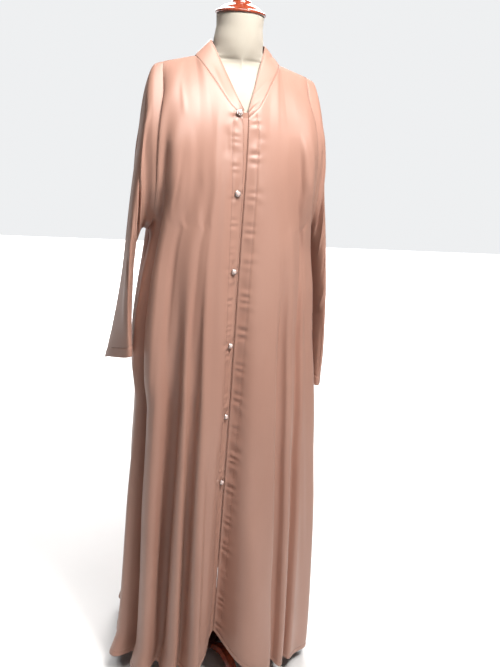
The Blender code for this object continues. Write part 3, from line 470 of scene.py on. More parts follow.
def place_on_plan(panel, z, shares=0.0):
    """Points, outward directions and length of a panel's plan, from middle to edge."""
    edge_x_right, edge_x_left, edge_front, edge_back, front, back, power = read(BODY, z)
    edge_x = edge_x_right if panel.endswith("right") else edge_x_left
    edge_y, middle_y = (edge_back, back) if is_back(panel) else (edge_front, front)
    start_x = 0.0 if is_back(panel) else read(EDGE, z)[0]
    turn = np.linspace(0.0, math.pi / 2, PLAN_POINTS)
    x = start_x + (edge_x - start_x) * np.sin(turn) ** (2 / power)
    y = edge_y + (middle_y - edge_y) * np.maximum(np.cos(turn), 0.0) ** (2 / power)
    line = np.stack([x, y], axis=-1)
    run = arc(line)
    length = run[-1]
    spots = np.asarray(shares, dtype=float) * length
    ahead, behind = np.minimum(spots + PLAN_REACH, length), np.maximum(spots - PLAN_REACH, 0.0)
    dx, dy = (at(line, run, ahead) - at(line, run, behind)).T
    side = -1.0 if is_back(panel) else 1.0
    return at(line, run, spots), unit(np.stack([dy * side, -dx * side], axis=-1)), length


def panel_length(panel, z):
    return place_on_plan(panel, z)[2]


def fold_state(row, z):
    """Place, width, depth and lean of one fold at one height."""
    start, at_start, at_hem, width_start, width_hem, depth, growth, lean = row
    down = min(max((start - z) / (start - HEM_Z), 0.0), 1.0)
    place = at_start + (at_hem - at_start) * down
    width = width_start + (width_hem - width_start) * down
    return place, width, depth * down ** growth, math.radians(lean)


def guides(panel, z):
    """Lines that columns follow, as shares of the width at the hem and at a height."""
    pairs = [(0.0, 0.0), (1.0, 1.0)]
    for row in FOLDS[panel]:
        if fold_state(row, HEM_Z)[0] > 0.0:
            pairs.append((fold_state(row, HEM_Z)[0], fold_state(row, z)[0]))
    at_chest, at_hem = NECK_CORNER[panel]
    down = min(max((CHEST_Z - z) / (CHEST_Z - HEM_Z), 0.0), 1.0)
    pairs.append((at_hem, at_chest + (at_hem - at_chest) * down))
    if not is_back(panel):
        pairs.append((PLACKET / panel_length(panel, HEM_Z), PLACKET / panel_length(panel, z)))
    return sorted(pairs)


def thin_or_fill(stops, kept, count):
    """Drop the most crowded stops, or halve the widest steps, until count steps are left."""
    stops = sorted(stops)
    while len(stops) - 1 > count:
        crowding = [(stops[i + 1] - stops[i - 1], i)
                    for i in range(1, len(stops) - 1) if stops[i] not in kept]
        stops.pop(min(crowding)[1])
    while len(stops) - 1 < count:
        i = int(np.argmax(np.diff(stops)))
        stops.insert(i + 1, (stops[i] + stops[i + 1]) / 2)
    return stops


def column_stops(panel):
    """Where the solid's columns end, as shares of the hem's width."""
    kept = {pair[0] for pair in guides(panel, HEM_Z)}
    stops = set(kept)
    least = LEAST_COLUMN / (NECK_COLUMNS + SHOULDER_COLUMNS)
    for row in FOLDS[panel]:
        place, width, *_ = fold_state(row, HEM_Z)
        for step in FOLD_STOPS:
            stop = place + step * width / panel_length(panel, HEM_Z)
            if 0.0 < stop < 1.0 and min(abs(stop - other) for other in stops) > least:
                stops.add(stop)
    corner = NECK_CORNER[panel][1]
    inner = thin_or_fill([s for s in stops if s <= corner], kept, NECK_COLUMNS)
    outer = thin_or_fill([s for s in stops if s >= corner], kept, SHOULDER_COLUMNS)
    return np.array(inner + outer[1:])


def fine_columns(panel):
    """Close columns, closest beside the front edge where the stitching puckers.

    Also each one's place among the solid's columns.
    """
    stops = column_stops(panel)
    length = panel_length(panel, HEM_Z)
    fine = [0.0]
    for low, high in zip(stops, stops[1:]):
        near_edge = not is_back(panel) and low * length < PUCKER_REACH
        step = EDGE_STEP if near_edge else COLUMN_STEP
        count = max(1, math.ceil((high - low) * length / step))
        fine += list(np.linspace(low, high, count + 1)[1:])
    return np.array(fine), np.interp(fine, stops, np.arange(len(stops)))


def shares_at(panel, columns, z):
    """Follow the folds: move the columns' hem shares to where they lie at a height."""
    shares = np.interp(columns, *zip(*guides(panel, z)))
    for _ in range(COLUMN_CALM if is_back(panel) else 0):
        shares[1:-1] = (shares[:-2] + 2 * shares[1:-1] + shares[2:]) / 4
    return shares


def hanging_row(panel, shares, heights):
    """One row of a panel with its folds. Its plan is that of its outer end's height."""
    heights = np.broadcast_to(np.asarray(heights, dtype=float), shares.shape)
    points, outward, length = place_on_plan(panel, heights[-1], shares)
    along = np.stack([-outward[:, 1], outward[:, 0]], axis=-1) * (-1 if is_back(panel) else 1)
    push = np.zeros(points.shape)
    for row in FOLDS[panel]:
        place, width, depth, lean = fold_state(row, heights[-1])
        bump = depth * bell((shares - place) * length, width)
        push += bump[:, None] * (outward * math.cos(lean) - along * math.sin(lean))
    moved = points + push * fade((1.0 - shares) * length / SIDE_CALM)[:, None]
    moved[shares == 0.0, 0] = points[shares == 0.0, 0]
    return np.column_stack([moved, heights])


def hem_heights(panel, columns):
    """The hem rises towards the front corners and sinks at the wearer's left side."""
    heights = HEM_Z - (HEM_DROP if panel.endswith("left") else 0.0) * fade(columns)
    if is_back(panel):
        return heights
    reach = CORNER_REACH / panel_length(panel, HEM_Z)
    return heights + CORNER_RISE * np.exp(-columns / reach) * fade((1.0 - columns) / CORNER_FADE)


def neck_line(table, kind, shares):
    """Points on the neckband's seam or free edge, by shares of its length."""
    rows = [(i / (len(table) - 1),) + row for i, row in enumerate(table)]
    found = read(rows, shares)
    return (found[:3] if kind == "seam" else found[3:]).T


def top_line(panel, index):
    """The upper edge of a panel: neckband seam, then shoulder seam."""
    on_neck = np.minimum(index / NECK_COLUMNS, 1.0)
    table, places, end = (
        (NECK_BACK, 1.0 - on_neck, 0.0) if is_back(panel) else (NECK_FRONT, on_neck, 1.0)
    )
    on_shoulder = np.clip((index - NECK_COLUMNS) / SHOULDER_COLUMNS, 0.0, 1.0)[:, None]
    corner = neck_line(table, "seam", end)
    return neck_line(table, "seam", places) + (np.array(SHOULDER_END) - corner) * on_shoulder


def panel_grid(panel):
    """Rows of points from the top seams to the hem, on the +X side.

    Also each point's share of its row's width, and the widths.
    """
    columns, index = fine_columns(panel)
    top = top_line(panel, index)
    chest_shares = shares_at(panel, columns, CHEST_Z)
    chest = hanging_row(panel, chest_shares, CHEST_Z)
    rise = unit(hanging_row(panel, chest_shares, CHEST_Z + YOKE_AIM) - chest)
    span = np.linalg.norm(top - chest, axis=1, keepdims=True)
    control = (1 - YOKE_PULL) * (top + chest) / 2 + YOKE_PULL * (chest + rise * span * YOKE_LIFT)
    rows = [(1 - s) ** 2 * top + 2 * s * (1 - s) * control + s * s * chest
            for s in np.linspace(0.0, 1.0, YOKE_ROWS + 1)]
    shares = [chest_shares] * len(rows)
    widths = [panel_length(panel, CHEST_Z)] * len(rows)
    hem = hem_heights(panel, columns)
    skirt_rows = SKIRT_ROWS // 2 if is_back(panel) else SKIRT_ROWS
    heights = [np.full(len(columns), z)
               for z in np.linspace(CHEST_Z, UNDERARM_Z, ARMHOLE_ROWS + 1)[1:]]
    heights += [UNDERARM_Z + (hem - UNDERARM_Z) * step
                for step in np.linspace(0.0, 1.0, skirt_rows + 1)[1:]]
    for row in heights:
        shares.append(shares_at(panel, columns, row[-1]))
        rows.append(hanging_row(panel, shares[-1], row))
        widths.append(panel_length(panel, row[-1]))
    return np.array(rows), np.array(shares), np.array(widths)


# ---------------- sleeve surface
def armhole_loop(front_grid, back_grid):
    """Armhole outline: down the front edge and up the back edge, with its angles."""
    front, back = front_grid[:SEAM_ROWS, -1], back_grid[:SEAM_ROWS, -1]
    angles = [180.0 * arc(line) / arc(line)[-1] for line in (front, back)]
    return (np.concatenate([front, back[-2:0:-1]]),
            np.concatenate([angles[0], 360.0 - angles[1][-2:0:-1]]))


def sleeve_ring(table, share, turn):
    """A closed ring through the four guide lines of the sleeve."""
    over, front, under, back = read(table, share).reshape(4, 3)
    angle = np.radians(turn)[:, None]
    return ((over + front + under + back) / 4
            + (over - under) / 2 * np.cos(angle) + (front - back) / 2 * np.sin(angle)
            + (over + under - front - back) / 4 * np.cos(2 * angle))


def sleeve_grid(name, loop, turn):
    """Rings from the armhole to the cuff, on the +X side."""
    at_share, at_angle, share_width, angle_width, depth = CREASES[name]
    mend = loop - sleeve_ring(SLEEVES[name], 0.0, turn)
    rings = []
    for share in np.linspace(0.0, 1.0, SLEEVE_ROWS + 1):
        ring = sleeve_ring(SLEEVES[name], share, turn) + mend * (1.0 - fade(share / SLEEVE_MEND))
        inward = unit(ring.mean(axis=0) - ring)
        crease = depth * bell(share - at_share, share_width) * bell(turn - at_angle, angle_width)
        rings.append(ring + inward * crease[:, None])
    rings[0] = loop
    return np.array(rings)


# ---------------- finishes
SATIN, SATIN_DEEP = (0.465, 0.260, 0.198), (0.430, 0.232, 0.174)
THREAD = (0.190, 0.080, 0.052)  # as it sits in the cloth
LINEN, LINEN_SHADE = (0.62, 0.57, 0.48), (0.53, 0.48, 0.40)
RED_WOOD, RED_WOOD_DEEP = (0.42, 0.080, 0.030), (0.20, 0.028, 0.014)
DARK_WOOD, DARK_WOOD_DEEP = (0.13, 0.045, 0.036), (0.050, 0.018, 0.016)
STEEL, SILVER = (0.56, 0.56, 0.57), (0.58, 0.57, 0.57)
PEARL, PEARL_SHADE = (0.72, 0.58, 0.54), (0.56, 0.40, 0.36)
FLOOR = (0.80, 0.79, 0.78)


def add_node(tree, kind, links=(), inputs=(), **settings):
    """Add a node, set it and link other nodes' outputs to its inputs."""
    made = tree.nodes.new(kind)
    for name, value in settings.items():
        setattr(made, name, value)
    for name, value in dict(inputs).items():
        made.inputs[name].default_value = value
    for name, output in dict(links).items():
        tree.links.new(output, made.inputs[name])
    return made


def add_ramp(tree, factor, low, high, first, second):
    """A colour ramp between two colours."""
    ramp = add_node(tree, "ShaderNodeValToRGB", {"Fac": factor})
    for end, position, colour in zip(ramp.color_ramp.elements, (low, high), (first, second)):
        end.position, end.color = position, (*colour, 1.0)
    return ramp.outputs["Color"]


class Finish:
    """A material under construction, with short ways to add its nodes."""

    def __init__(self, name, **sockets):
        self.material = bpy.data.materials.new(name)
        self.material.use_nodes = True
        self.tree = self.material.node_tree
        self.shader = self.tree.nodes["Principled BSDF"]
        for socket, value in sockets.items():
            self.shader.inputs[socket.replace("_", " ")].default_value = value

    def noise(self, kind, scale, detail=2.0, roughness=0.5):
        """Noise over the surface's own coordinates, with its own scale along each axis."""
        source = add_node(self.tree, "ShaderNodeTexCoord").outputs[kind]
        place = add_node(self.tree, "ShaderNodeMapping", {"Vector": source}, {"Scale": scale})
        return add_node(
            self.tree, "ShaderNodeTexNoise", {"Vector": place.outputs[0]},
            {"Scale": 1.0, "Detail": detail, "Roughness": roughness},
        ).outputs["Fac"]

    def blend(self, factor, first, second, low=0.35, high=0.65):
        """Two colours that change over as the factor goes from low to high."""
        return add_ramp(self.tree, factor, low, high, first, second)

    def tint(self, colour, factor, low, high=1.0):
        """Multiply a colour by a grey between low and high."""
        grey = self.blend(factor, (low,) * 3, (high,) * 3, 0.2, 0.8)
        return add_node(self.tree, "ShaderNodeMix", {6: colour, 7: grey}, {0: 1.0},
                        data_type="RGBA", blend_type="MULTIPLY").outputs[2]

    def set(self, socket, output):
        self.tree.links.new(output, self.shader.inputs[socket])

    def roughness(self, factor, low, high):
        """Let the gloss vary."""
        self.set("Roughness", add_node(self.tree, "ShaderNodeMapRange", {"Value": factor},
                                       {"To Min": low, "To Max": high}).outputs["Result"])

    def bump(self, factor, strength, distance):
        """Raise the surface where the factor is high, on top of an earlier bump."""
        socket = self.shader.inputs["Normal"]
        below = {"Normal": socket.links[0].from_socket} if socket.links else {}
        self.set("Normal", add_node(
            self.tree, "ShaderNodeBump", {"Height": factor, **below},
            {"Strength": strength, "Distance": distance}).outputs["Normal"])


def satin_finish(name, rough_low, rough_high, sheen):
    """Satin: long fine floats that run down the cloth, and a broad soft gloss."""
    made = Finish(name, Anisotropic=0.35, Sheen_Weight=sheen, Sheen_Roughness=0.45,
                  Sheen_Tint=(1.0, 0.80, 0.70, 1.0), Specular_IOR_Level=0.55)
    floats = made.noise("UV", (1900.0, 150.0, 1.0), 3.0)
    slubs = made.noise("UV", (420.0, 26.0, 1.0), 2.0)
    patches = made.noise("Object", (7.0, 7.0, 3.0), 3.0)
    colour = made.blend(patches, SATIN_DEEP, SATIN)
    made.set("Base Color", made.tint(made.tint(colour, slubs, 0.965), floats, 0.95))
    made.roughness(slubs, rough_low, rough_high)
    made.bump(floats, 0.18, 0.0002)
    made.bump(slubs, 0.10, 0.0003)
    return made.material


def linen_finish():
    """Plain cream cloth, woven over and under."""
    made = Finish("linen", Roughness=0.9, Sheen_Weight=0.15, Specular_IOR_Level=0.3)
    weft = made.noise("UV", (300.0, 1400.0, 1.0), 2.0)
    warp = made.noise("UV", (1400.0, 300.0, 1.0), 2.0)
    stain = made.noise("Object", (9.0, 9.0, 9.0), 3.0)
    colour = made.blend(stain, LINEN_SHADE, LINEN, 0.25, 0.55)
    made.set("Base Color", made.tint(made.tint(colour, weft, 0.93), warp, 0.93))
    made.bump(weft, 0.35, 0.0003)
    made.bump(warp, 0.35, 0.0003)
    return made.material


def wood_finish(name, deep, light, gloss):
    """Varnished wood with its grain along the turned axis."""
    made = Finish(name, Coat_Weight=0.7, Coat_Roughness=0.06)
    grain = made.noise("Object", (160.0, 160.0, 14.0), 5.0, 0.6)
    pores = made.noise("Object", (900.0, 900.0, 60.0), 2.0)
    made.set("Base Color", made.tint(made.blend(grain, deep, light, 0.3, 0.7), pores, 0.85))
    made.roughness(grain, gloss, gloss + 0.12)
    made.bump(pores, 0.15, 0.0002)
    return made.material


def mottled(name, scale, detail, light, deep, bump=(), gloss=(), spread=(), **sockets):
    """A finish whose colour, gloss and surface vary with one noise.

    deep is its darker colour, or its share of the light one.
    """
    made = Finish(name, **sockets)
    noise = made.noise("Object", scale if isinstance(scale, tuple) else (scale,) * 3, detail)
    if isinstance(deep, float):
        deep = tuple(deep * part for part in light)
    made.set("Base Color", made.blend(noise, deep, light, *spread))
    if gloss:
        made.roughness(noise, *gloss)
    if bump:
        made.bump(noise, *bump)
    return made


def floor_finish():
    """Matt floor. Further out it is seen pale, without lighting the cloak."""
    made = mottled("floor", 2.0, 4.0, FLOOR, 0.96, Roughness=0.65,
                   Emission_Color=(*ROOM_PALE, 1.0))
    made.bump(made.noise("Object", (60.0, 60.0, 60.0), 3.0), 0.05, 0.001)
    place = add_node(made.tree, "ShaderNodeTexCoord").outputs["Object"]
    away = add_node(made.tree, "ShaderNodeVectorMath", {0: place}, operation="LENGTH")
    far = add_node(made.tree, "ShaderNodeMapRange", {"Value": away.outputs["Value"]},
                   {"From Min": FLOOR_PALE_FROM, "From Max": FLOOR_PALE_TO},
                   interpolation_type="SMOOTHSTEP").outputs["Result"]
    ray = add_node(made.tree, "ShaderNodeLightPath").outputs["Is Camera Ray"]
    made.set("Emission Strength", add_node(
        made.tree, "ShaderNodeMath", {0: far, 1: ray}, operation="MULTIPLY").outputs["Value"])
    return made.material


satin = satin_finish("satin", 0.40, 0.50, 0.08)
satin_inside = satin_finish("satin_inside", 0.58, 0.70, 0.05)
thread = mottled("thread", 1500.0, 1.0, THREAD, 0.75, (0.3, 0.0001),
                 Roughness=0.6, Sheen_Weight=0.2).material
linen = linen_finish()
red_wood = wood_finish("red_wood", RED_WOOD_DEEP, RED_WOOD, 0.16)
dark_wood = wood_finish("dark_wood", DARK_WOOD_DEEP, DARK_WOOD, 0.20)
steel = mottled("steel", (900.0, 900.0, 10.0), 3.0, STEEL, 0.86, (0.08, 0.0001),
                (0.26, 0.40), Metallic=1.0).material
pearl = mottled("pearl", 260.0, 3.0, PEARL, PEARL_SHADE, (0.1, 0.0003), (0.08, 0.22),
                (0.30, 0.55), Coat_Weight=1.0, Coat_Roughness=0.10,
                Specular_IOR_Level=0.5).material
silver = mottled("silver", 700.0, 3.0, SILVER, 0.8, (0.1, 0.0001), (0.16, 0.32),
                 Metallic=1.0).material


# ---------------- soft detail
def stroke_push(x, z, strokes):
    """Soft creases on a sheet: each runs from one point to another and fades at its ends."""
    push = np.zeros(x.shape)
    for from_x, from_z, to_x, to_z, width, depth, bow, skew in strokes:
        run_x, run_z = to_x - from_x, to_z - from_z
        length = math.hypot(run_x, run_z)
        share = ((x - from_x) * run_x + (z - from_z) * run_z) / length ** 2
        across = ((x - from_x) * run_z - (z - from_z) * run_x) / length
        across = across - bow * 4 * share * (1 - share)
        across = across / (width * np.where(across > 0.0, 1.0 + skew, 1.0 - skew))
        ends = fade(share / STROKE_END) * fade((1 - share) / STROKE_END)
        push += depth * bell(across, 1.0) * ends
    return push


def uneven_wave(run, period, start):
    """A wave whose crests are unevenly spaced and unevenly high."""
    place = run / period + start
    (move, fast), (drift, slow) = CREST_MOVES
    turn = place + move * np.sin(fast * place) + drift * np.sin(slow * place + 1.0 + start)
    (mean, swing), (fast, slow) = CREST_HEIGHT, CREST_PACES
    height = mean + swing * np.sin(fast * place + 2.0 * start) * np.sin(slow * place + start)
    return height * np.sin(2 * math.pi * turn)


def button_pull(x, z):
    """Each button draws the cloth into short creases round it."""
    (high, out, wide), (deep, broad) = BUTTON_RAYS, BUTTON_HOLLOW
    push = np.zeros(x.shape)
    for i in range(BUTTON_COUNT):
        across, along = x - BUTTON_INSET, z - (BUTTON_TOP - BUTTON_STEP * i)
        far = np.hypot(across, along)
        angle = np.arctan2(along, across)
        rays = np.cos(5 * angle + 0.9 * i) + 0.5 * np.cos(3 * angle - 1.3 * i)
        push += high * rays * bell(far - out, wide) - deep * bell(far, broad)
    return push


def closed_up(grid):
    """A ring's grid with its first column again at its end."""
    return np.concatenate([grid, grid[:, :1]], axis=1)


def grid_normals(grid, closed=False, flip=False):
    """Outward normals at a grid's points."""
    wide = closed_up(grid) if closed else grid
    across = (wide[:-1, 1:] - wide[:-1, :-1]) + (wide[1:, 1:] - wide[1:, :-1])
    down = (wide[1:, :-1] - wide[:-1, :-1]) + (wide[1:, 1:] - wide[:-1, 1:])
    cells = unit(np.cross(across, down)) * (-1.0 if flip else 1.0)
    total = np.zeros(wide.shape)
    for rows in (np.s_[:-1], np.s_[1:]):
        for columns in (np.s_[:-1], np.s_[1:]):
            total[rows, columns] += cells
    if closed:
        total[:, 0] += total[:, -1]
        total = total[:, :-1]
    return unit(total)


def share_seam_normals(sheets):
    """Sheets that meet in a seam take the same normals along it."""
    total, rim = {}, []
    for sheet in sheets:
        rows, columns = sheet["grid"].shape[:2]
        spots = [(r, c) for r in (0, rows - 1) for c in range(columns)]
        spots += [(r, c) for c in (0, columns - 1) for r in range(1, rows - 1)]
        for spot in spots:
            place = tuple(np.round(sheet["grid"][spot] * SEAM_GRAIN).astype(int))
            total[place] = total.get(place, np.zeros(3)) + sheet["normals"][spot]
            rim.append((sheet["normals"], spot, place))
    for normals, spot, place in rim:
        normals[spot] = unit(total[place])


def soften_bend(grid, middle, reach, passes, share=1.0):
    """Round off a bend that runs across the columns at one row, by a share in each."""
    weight = 0.5 * bell(np.arange(len(grid)) - middle, reach)[1:-1, None, None]
    weight = weight * np.broadcast_to(share, grid.shape[1])[:, None]
    for _ in range(passes):
        grid[1:-1] += weight * ((grid[:-2] + grid[2:]) / 2 - grid[1:-1])


def folded_edge(to_edge, fold):
    """The turned-in cloth at an edge stands proud, up to a sunk line of stitches."""
    return (FOLD_STEP * fade((fold + FOLD_SOFT / 2 - to_edge) / FOLD_SOFT)
            - STITCH_SINK * bell(to_edge - fold, STITCH_SPREAD))


def dress_panel(panel, plain, shares, lengths):
    """Add the soft creases, the puckered stitching and the hem to a panel's grid."""
    heights = plain[:, :, 2]
    across, down = runs(plain, 1), runs(plain, 0)
    to_side, to_hem = across[:, -1:] - across, down[-1:] - down
    push = stroke_push(shares * lengths[:, None], heights, [
        (from_share * panel_length(panel, min(from_z, CHEST_Z)), from_z,
         to_share * panel_length(panel, min(to_z, CHEST_Z)), to_z, *shape)
        for from_share, from_z, to_share, to_z, *shape in STROKES[panel]
    ])
    if not is_back(panel):
        for middle, reach_in, reach_out, depth, period, slant, start in PUCKERS[panel]:
            band = bell(across - middle, np.where(across < middle, reach_in, reach_out))
            wave = uneven_wave(slant * across - heights, period, start)
            push += depth * band * wave * fade(down / PUCKER_FADE)
        sunk = STITCH_SINK * bell(across - PLACKET, STITCH_SPREAD)
        push -= sunk * fade(down / PLACKET_FADE)
        if panel == "front_right":
            push += button_pull(across, heights)
    push *= fade(down / TOP_FADE) * fade(to_side / SIDE_FADE)
    push -= SEAM_SINK * (bell(to_side, SEAM_SPREAD) + bell(down, SEAM_SPREAD))
    push += folded_edge(to_hem, HEM_FOLD)
    return plain + grid_normals(plain, flip=not is_back(panel)) * push[:, :, None]


def dress_sleeve(name, plain, turn):
    """Add the soft creases and the cuff's folded hem to a sleeve's grid."""
    down = runs(plain, 0)
    length = down[-1].mean()
    girth = np.linalg.norm(np.roll(plain[-1], -1, axis=0) - plain[-1], axis=1).sum()
    x = np.broadcast_to(turn / 360.0 * girth, down.shape)
    z = np.linspace(0.0, length, len(plain))[:, None]
    push = stroke_push(x, z, [
        (from_angle / 360.0 * girth, from_share * length,
         to_angle / 360.0 * girth, to_share * length, *shape)
        for from_angle, from_share, to_angle, to_share, *shape in SLEEVE_STROKES[name]
    ])
    push = push * fade(down / SLEEVE_FADE) - SEAM_SINK * bell(down, SEAM_SPREAD)
    push += folded_edge(down[-1:] - down, CUFF_FOLD)
    normals = grid_normals(plain, closed=True)
    away = plain - plain.mean(axis=1, keepdims=True)
    return plain + normals * np.sign((normals * away).sum()) * push[:, :, None]


def dress_band(plain):
    """The band crumples a little where it leaves the shoulder, and its edge is turned in."""
    across, up = runs(plain, 1), runs(plain, 0)
    push = stroke_push(across, up, BAND_STROKES) * fade(up / BAND_FADE)
    push -= SEAM_SINK * bell(up, SEAM_SPREAD)
    push -= STITCH_SINK * bell(up[-1:] - up - BAND_STITCH, BAND_SPREAD)
    return plain + grid_normals(plain, flip=True) * push[:, :, None]


def ease_armhole(front, back, sleeve):
    """Round off the ridge or groove along an armhole seam, on the pieces either side of it."""
    def spot_in(lines):
        """The point on each line at the easing's reach from its start."""
        return np.array([at(line, run, EASE_REACH) for line, run in zip(lines, runs(lines, 1))])

    def around(first, second):
        return np.concatenate([first, second[-2:0:-1]])

    body = around(*(spot_in(sheet[:SEAM_ROWS, ::-1]) for sheet in (front, back)))
    seam = around(front[:SEAM_ROWS, -1], back[:SEAM_ROWS, -1])
    arm = spot_in(sleeve.transpose(1, 0, 2))
    turn = np.arange(len(seam))
    arm = at(np.concatenate([arm, arm[:1]]), np.arange(0, len(seam) + 1, 2), turn)
    shift = EASE * ((body + arm) / 2 - seam)
    kernel = bell(np.arange(-EASE_ROWS, EASE_ROWS + 1), EASE_SPREAD)
    kernel /= kernel.sum()
    ring = np.concatenate([shift[-EASE_ROWS:], shift, shift[:EASE_ROWS]])
    shift = np.stack([np.convolve(axis, kernel, "valid") for axis in ring.T], -1)
    shift *= fade(np.minimum(turn, len(seam) - turn) / SHOULDER_CALM)[:, None]
    shift[1::2] = (shift[0::2] + np.roll(shift[0::2], -1, axis=0)) / 2
    for sheet, line in ((front, shift), (back, np.roll(shift[::-1], 1, axis=0))):
        across, down = runs(sheet, 1), runs(sheet, 0)
        below = np.maximum(down - down[SEAM_ROWS - 1], 0.0)
        far = np.hypot(across[:, -1:] - across, below)
        weight = np.clip(1.0 - far / EASE_REACH, 0.0, 1.0) ** 2
        index = np.minimum(np.arange(len(sheet)), SEAM_ROWS - 1)
        sheet += line[index][:, None] * weight[:, :, None]
    weight = np.clip(1.0 - runs(sleeve, 0) / EASE_REACH, 0.0, 1.0) ** 2
    sleeve += shift[::2][None] * weight[:, :, None]


# ---------------- cloth pieces
def array_mesh(name, points, faces, finishes, face_finish=None, face_uvs=None):
    """A smooth mesh object from arrays of points, faces and the faces' own settings."""
    mesh = bpy.data.meshes.new(name)
    mesh.from_pydata(np.asarray(points).tolist(), [], [list(map(int, f)) for f in faces])
    for finish in finishes:
        mesh.materials.append(finish)
    if face_finish is not None:
        mesh.polygons.foreach_set("material_index", np.asarray(face_finish, dtype=np.int32))
    if face_uvs is not None:
        layer = mesh.uv_layers.new(name="UVMap")
        layer.data.foreach_set("uv", np.asarray(face_uvs, dtype=np.float32).ravel())
    mesh.polygons.foreach_set("use_smooth", np.ones(len(mesh.polygons), dtype=bool))
    mesh.update()
    made = bpy.data.objects.new(name, mesh)
    scene.collection.objects.link(made)
    return made


def grid_faces(uv, columns):
    """Four-sided faces between a grid's points, and their corners' places in uv."""
    r, c = np.meshgrid(*(np.arange(count - 1) for count in uv.shape[:2]), indexing="ij")
    corners = [(r, c), (r, c + 1), (r + 1, c + 1), (r + 1, c)]
    faces = np.stack([a * columns + b % columns for a, b in corners], -1).reshape(-1, 4)
    return faces, np.stack([uv[a, b] for a, b in corners], 2).reshape(-1, 4, 2)


def shell(sheet):
    """Close a sheet into a thin shell: its own grid outside, a copy moved inward."""
    grid, closed, flip = sheet["grid"], sheet["closed"], sheet["flip"]
    outer = grid.copy()
    neighbours = {"top": (np.s_[0, :], np.s_[1, :]), "first": (np.s_[:, 0], np.s_[:, 1]),
                  "last": (np.s_[:, -1], np.s_[:, -2])}
    for edge in sheet["sewn"]:
        here, inside = neighbours[edge]
        outer[here] += unit(grid[inside] - grid[here]) * SEAM_BACK
    inner = outer - sheet["normals"] * SHELL
    rows, columns = outer.shape[:2]
    under = rows * columns
    wide = closed_up(outer) if closed else outer
    spans = wide.shape[1] - 1
    uv = np.stack([runs(wide, 1), -runs(wide, 0)], axis=-1)
    spots, uvs = grid_faces(uv, columns)
    if flip:
        spots, uvs = spots[:, ::-1], uvs[:, ::-1]
    faces, face_uvs = [spots, spots[:, ::-1] + under], [uvs, uvs[:, ::-1]]
    along, fall = np.arange(spans), np.arange(rows - 1)
    rims = [(np.full(spans, row), along, 0, 1, (row == 0) == flip) for row in (0, rows - 1)]
    if not closed:
        rims += [(fall, np.full(rows - 1, column), 1, 0, (column == 0) != flip)
                 for column in (0, columns - 1)]
    for r, c, step_r, step_c, out in rims:
        a, b = r * columns + c % columns, (r + step_r) * columns + (c + step_c) % columns
        start, end = uv[r, c], uv[r + step_r, c + step_c]
        quad, line = [a, b, b + under, a + under], [start, end, end, start]
        order = 1 if out else -1
        faces.append(np.stack(quad[::order], axis=-1))
        face_uvs.append(np.stack(line[::order], axis=1))
    inside = [np.full(len(part), int(i == 1)) for i, part in enumerate(faces)]
    made = array_mesh(
        sheet["name"], np.concatenate([outer.reshape(-1, 3), inner.reshape(-1, 3)]),
        np.concatenate(faces), (satin, satin_inside), np.concatenate(inside),
        np.concatenate(face_uvs),
    )
    return keep(made, "satin", sheet["node"])


def neck_stations(panel):
    """Where a panel's columns start on the neckband seam, as shares of its length."""
    index = fine_columns(panel)[1]
    return index[index <= NECK_COLUMNS + 1e-9] / NECK_COLUMNS


def neckband_grid(stations):
    """The band, from the wearer's right front edge round the back to the left one."""
    shares = np.linspace(0.0, 1.0, BAND_ROWS + 1)[:, None, None]
    halves = []
    for side in ("right", "left"):
        front, back = stations[f"front_{side}"], 1.0 - stations[f"back_{side}"][::-1]
        seam, edge = (
            np.concatenate([neck_line(NECK_FRONT, kind, front),
                            neck_line(NECK_BACK, kind, back)[1:]])
            for kind in ("seam", "edge")
        )
        halves.append(seam + (edge - seam) * shares)
    return np.concatenate([mirrored(halves[0]), halves[1][:, -2::-1]], axis=1)


def underlap_grid(plain, stations):
    """A strip that follows the inner faces of the band's ends and both front edges."""
    halves = []
    for panel in ("front_right", "front_left"):
        front = plain[panel]
        count = int((runs(front, 1)[YOKE_ROWS] < PLACKET + 1e-4).sum())
        seam, edge = (neck_line(NECK_FRONT, kind, stations[panel][:count])
                      for kind in ("seam", "edge"))
        behind = [seam + (edge - seam) * share
                  for share in np.linspace(LAP_RISE, 0.0, LAP_ROWS)[:-1]]
        grid = np.concatenate([np.array(behind), front[front[:, 0, 2] > LAP_END][:, :count]])
        halves.append(grid - grid_normals(grid, flip=True) * (CLOTH + LAP_CLEAR))
    length = min(len(half) for half in halves)
    return np.concatenate([mirrored(halves[0][:length, ::-1]), halves[1][:length]], axis=1)


# ---------------- stitching
def line_beside(grid, normals, distance, edge):
    """Points and normals on a sheet, at a distance from one of its edges."""
    if edge in ("first", "last"):
        grid, normals = grid.transpose(1, 0, 2), normals.transpose(1, 0, 2)
    if edge in ("last", "bottom"):
        grid, normals = grid[::-1], normals[::-1]
    run = runs(grid, 0)
    row = np.clip((run < distance).sum(axis=0), 1, len(grid) - 1)
    column = np.arange(grid.shape[1])
    low, high = run[row - 1, column], run[row, column]
    share = np.clip((distance - low) / np.maximum(high - low, 1e-9), 0, 1)[:, None]
    spots, ups = (rows[row - 1, column] * (1 - share) + rows[row, column] * share
                  for rows in (grid, normals))
    return spots, unit(ups)


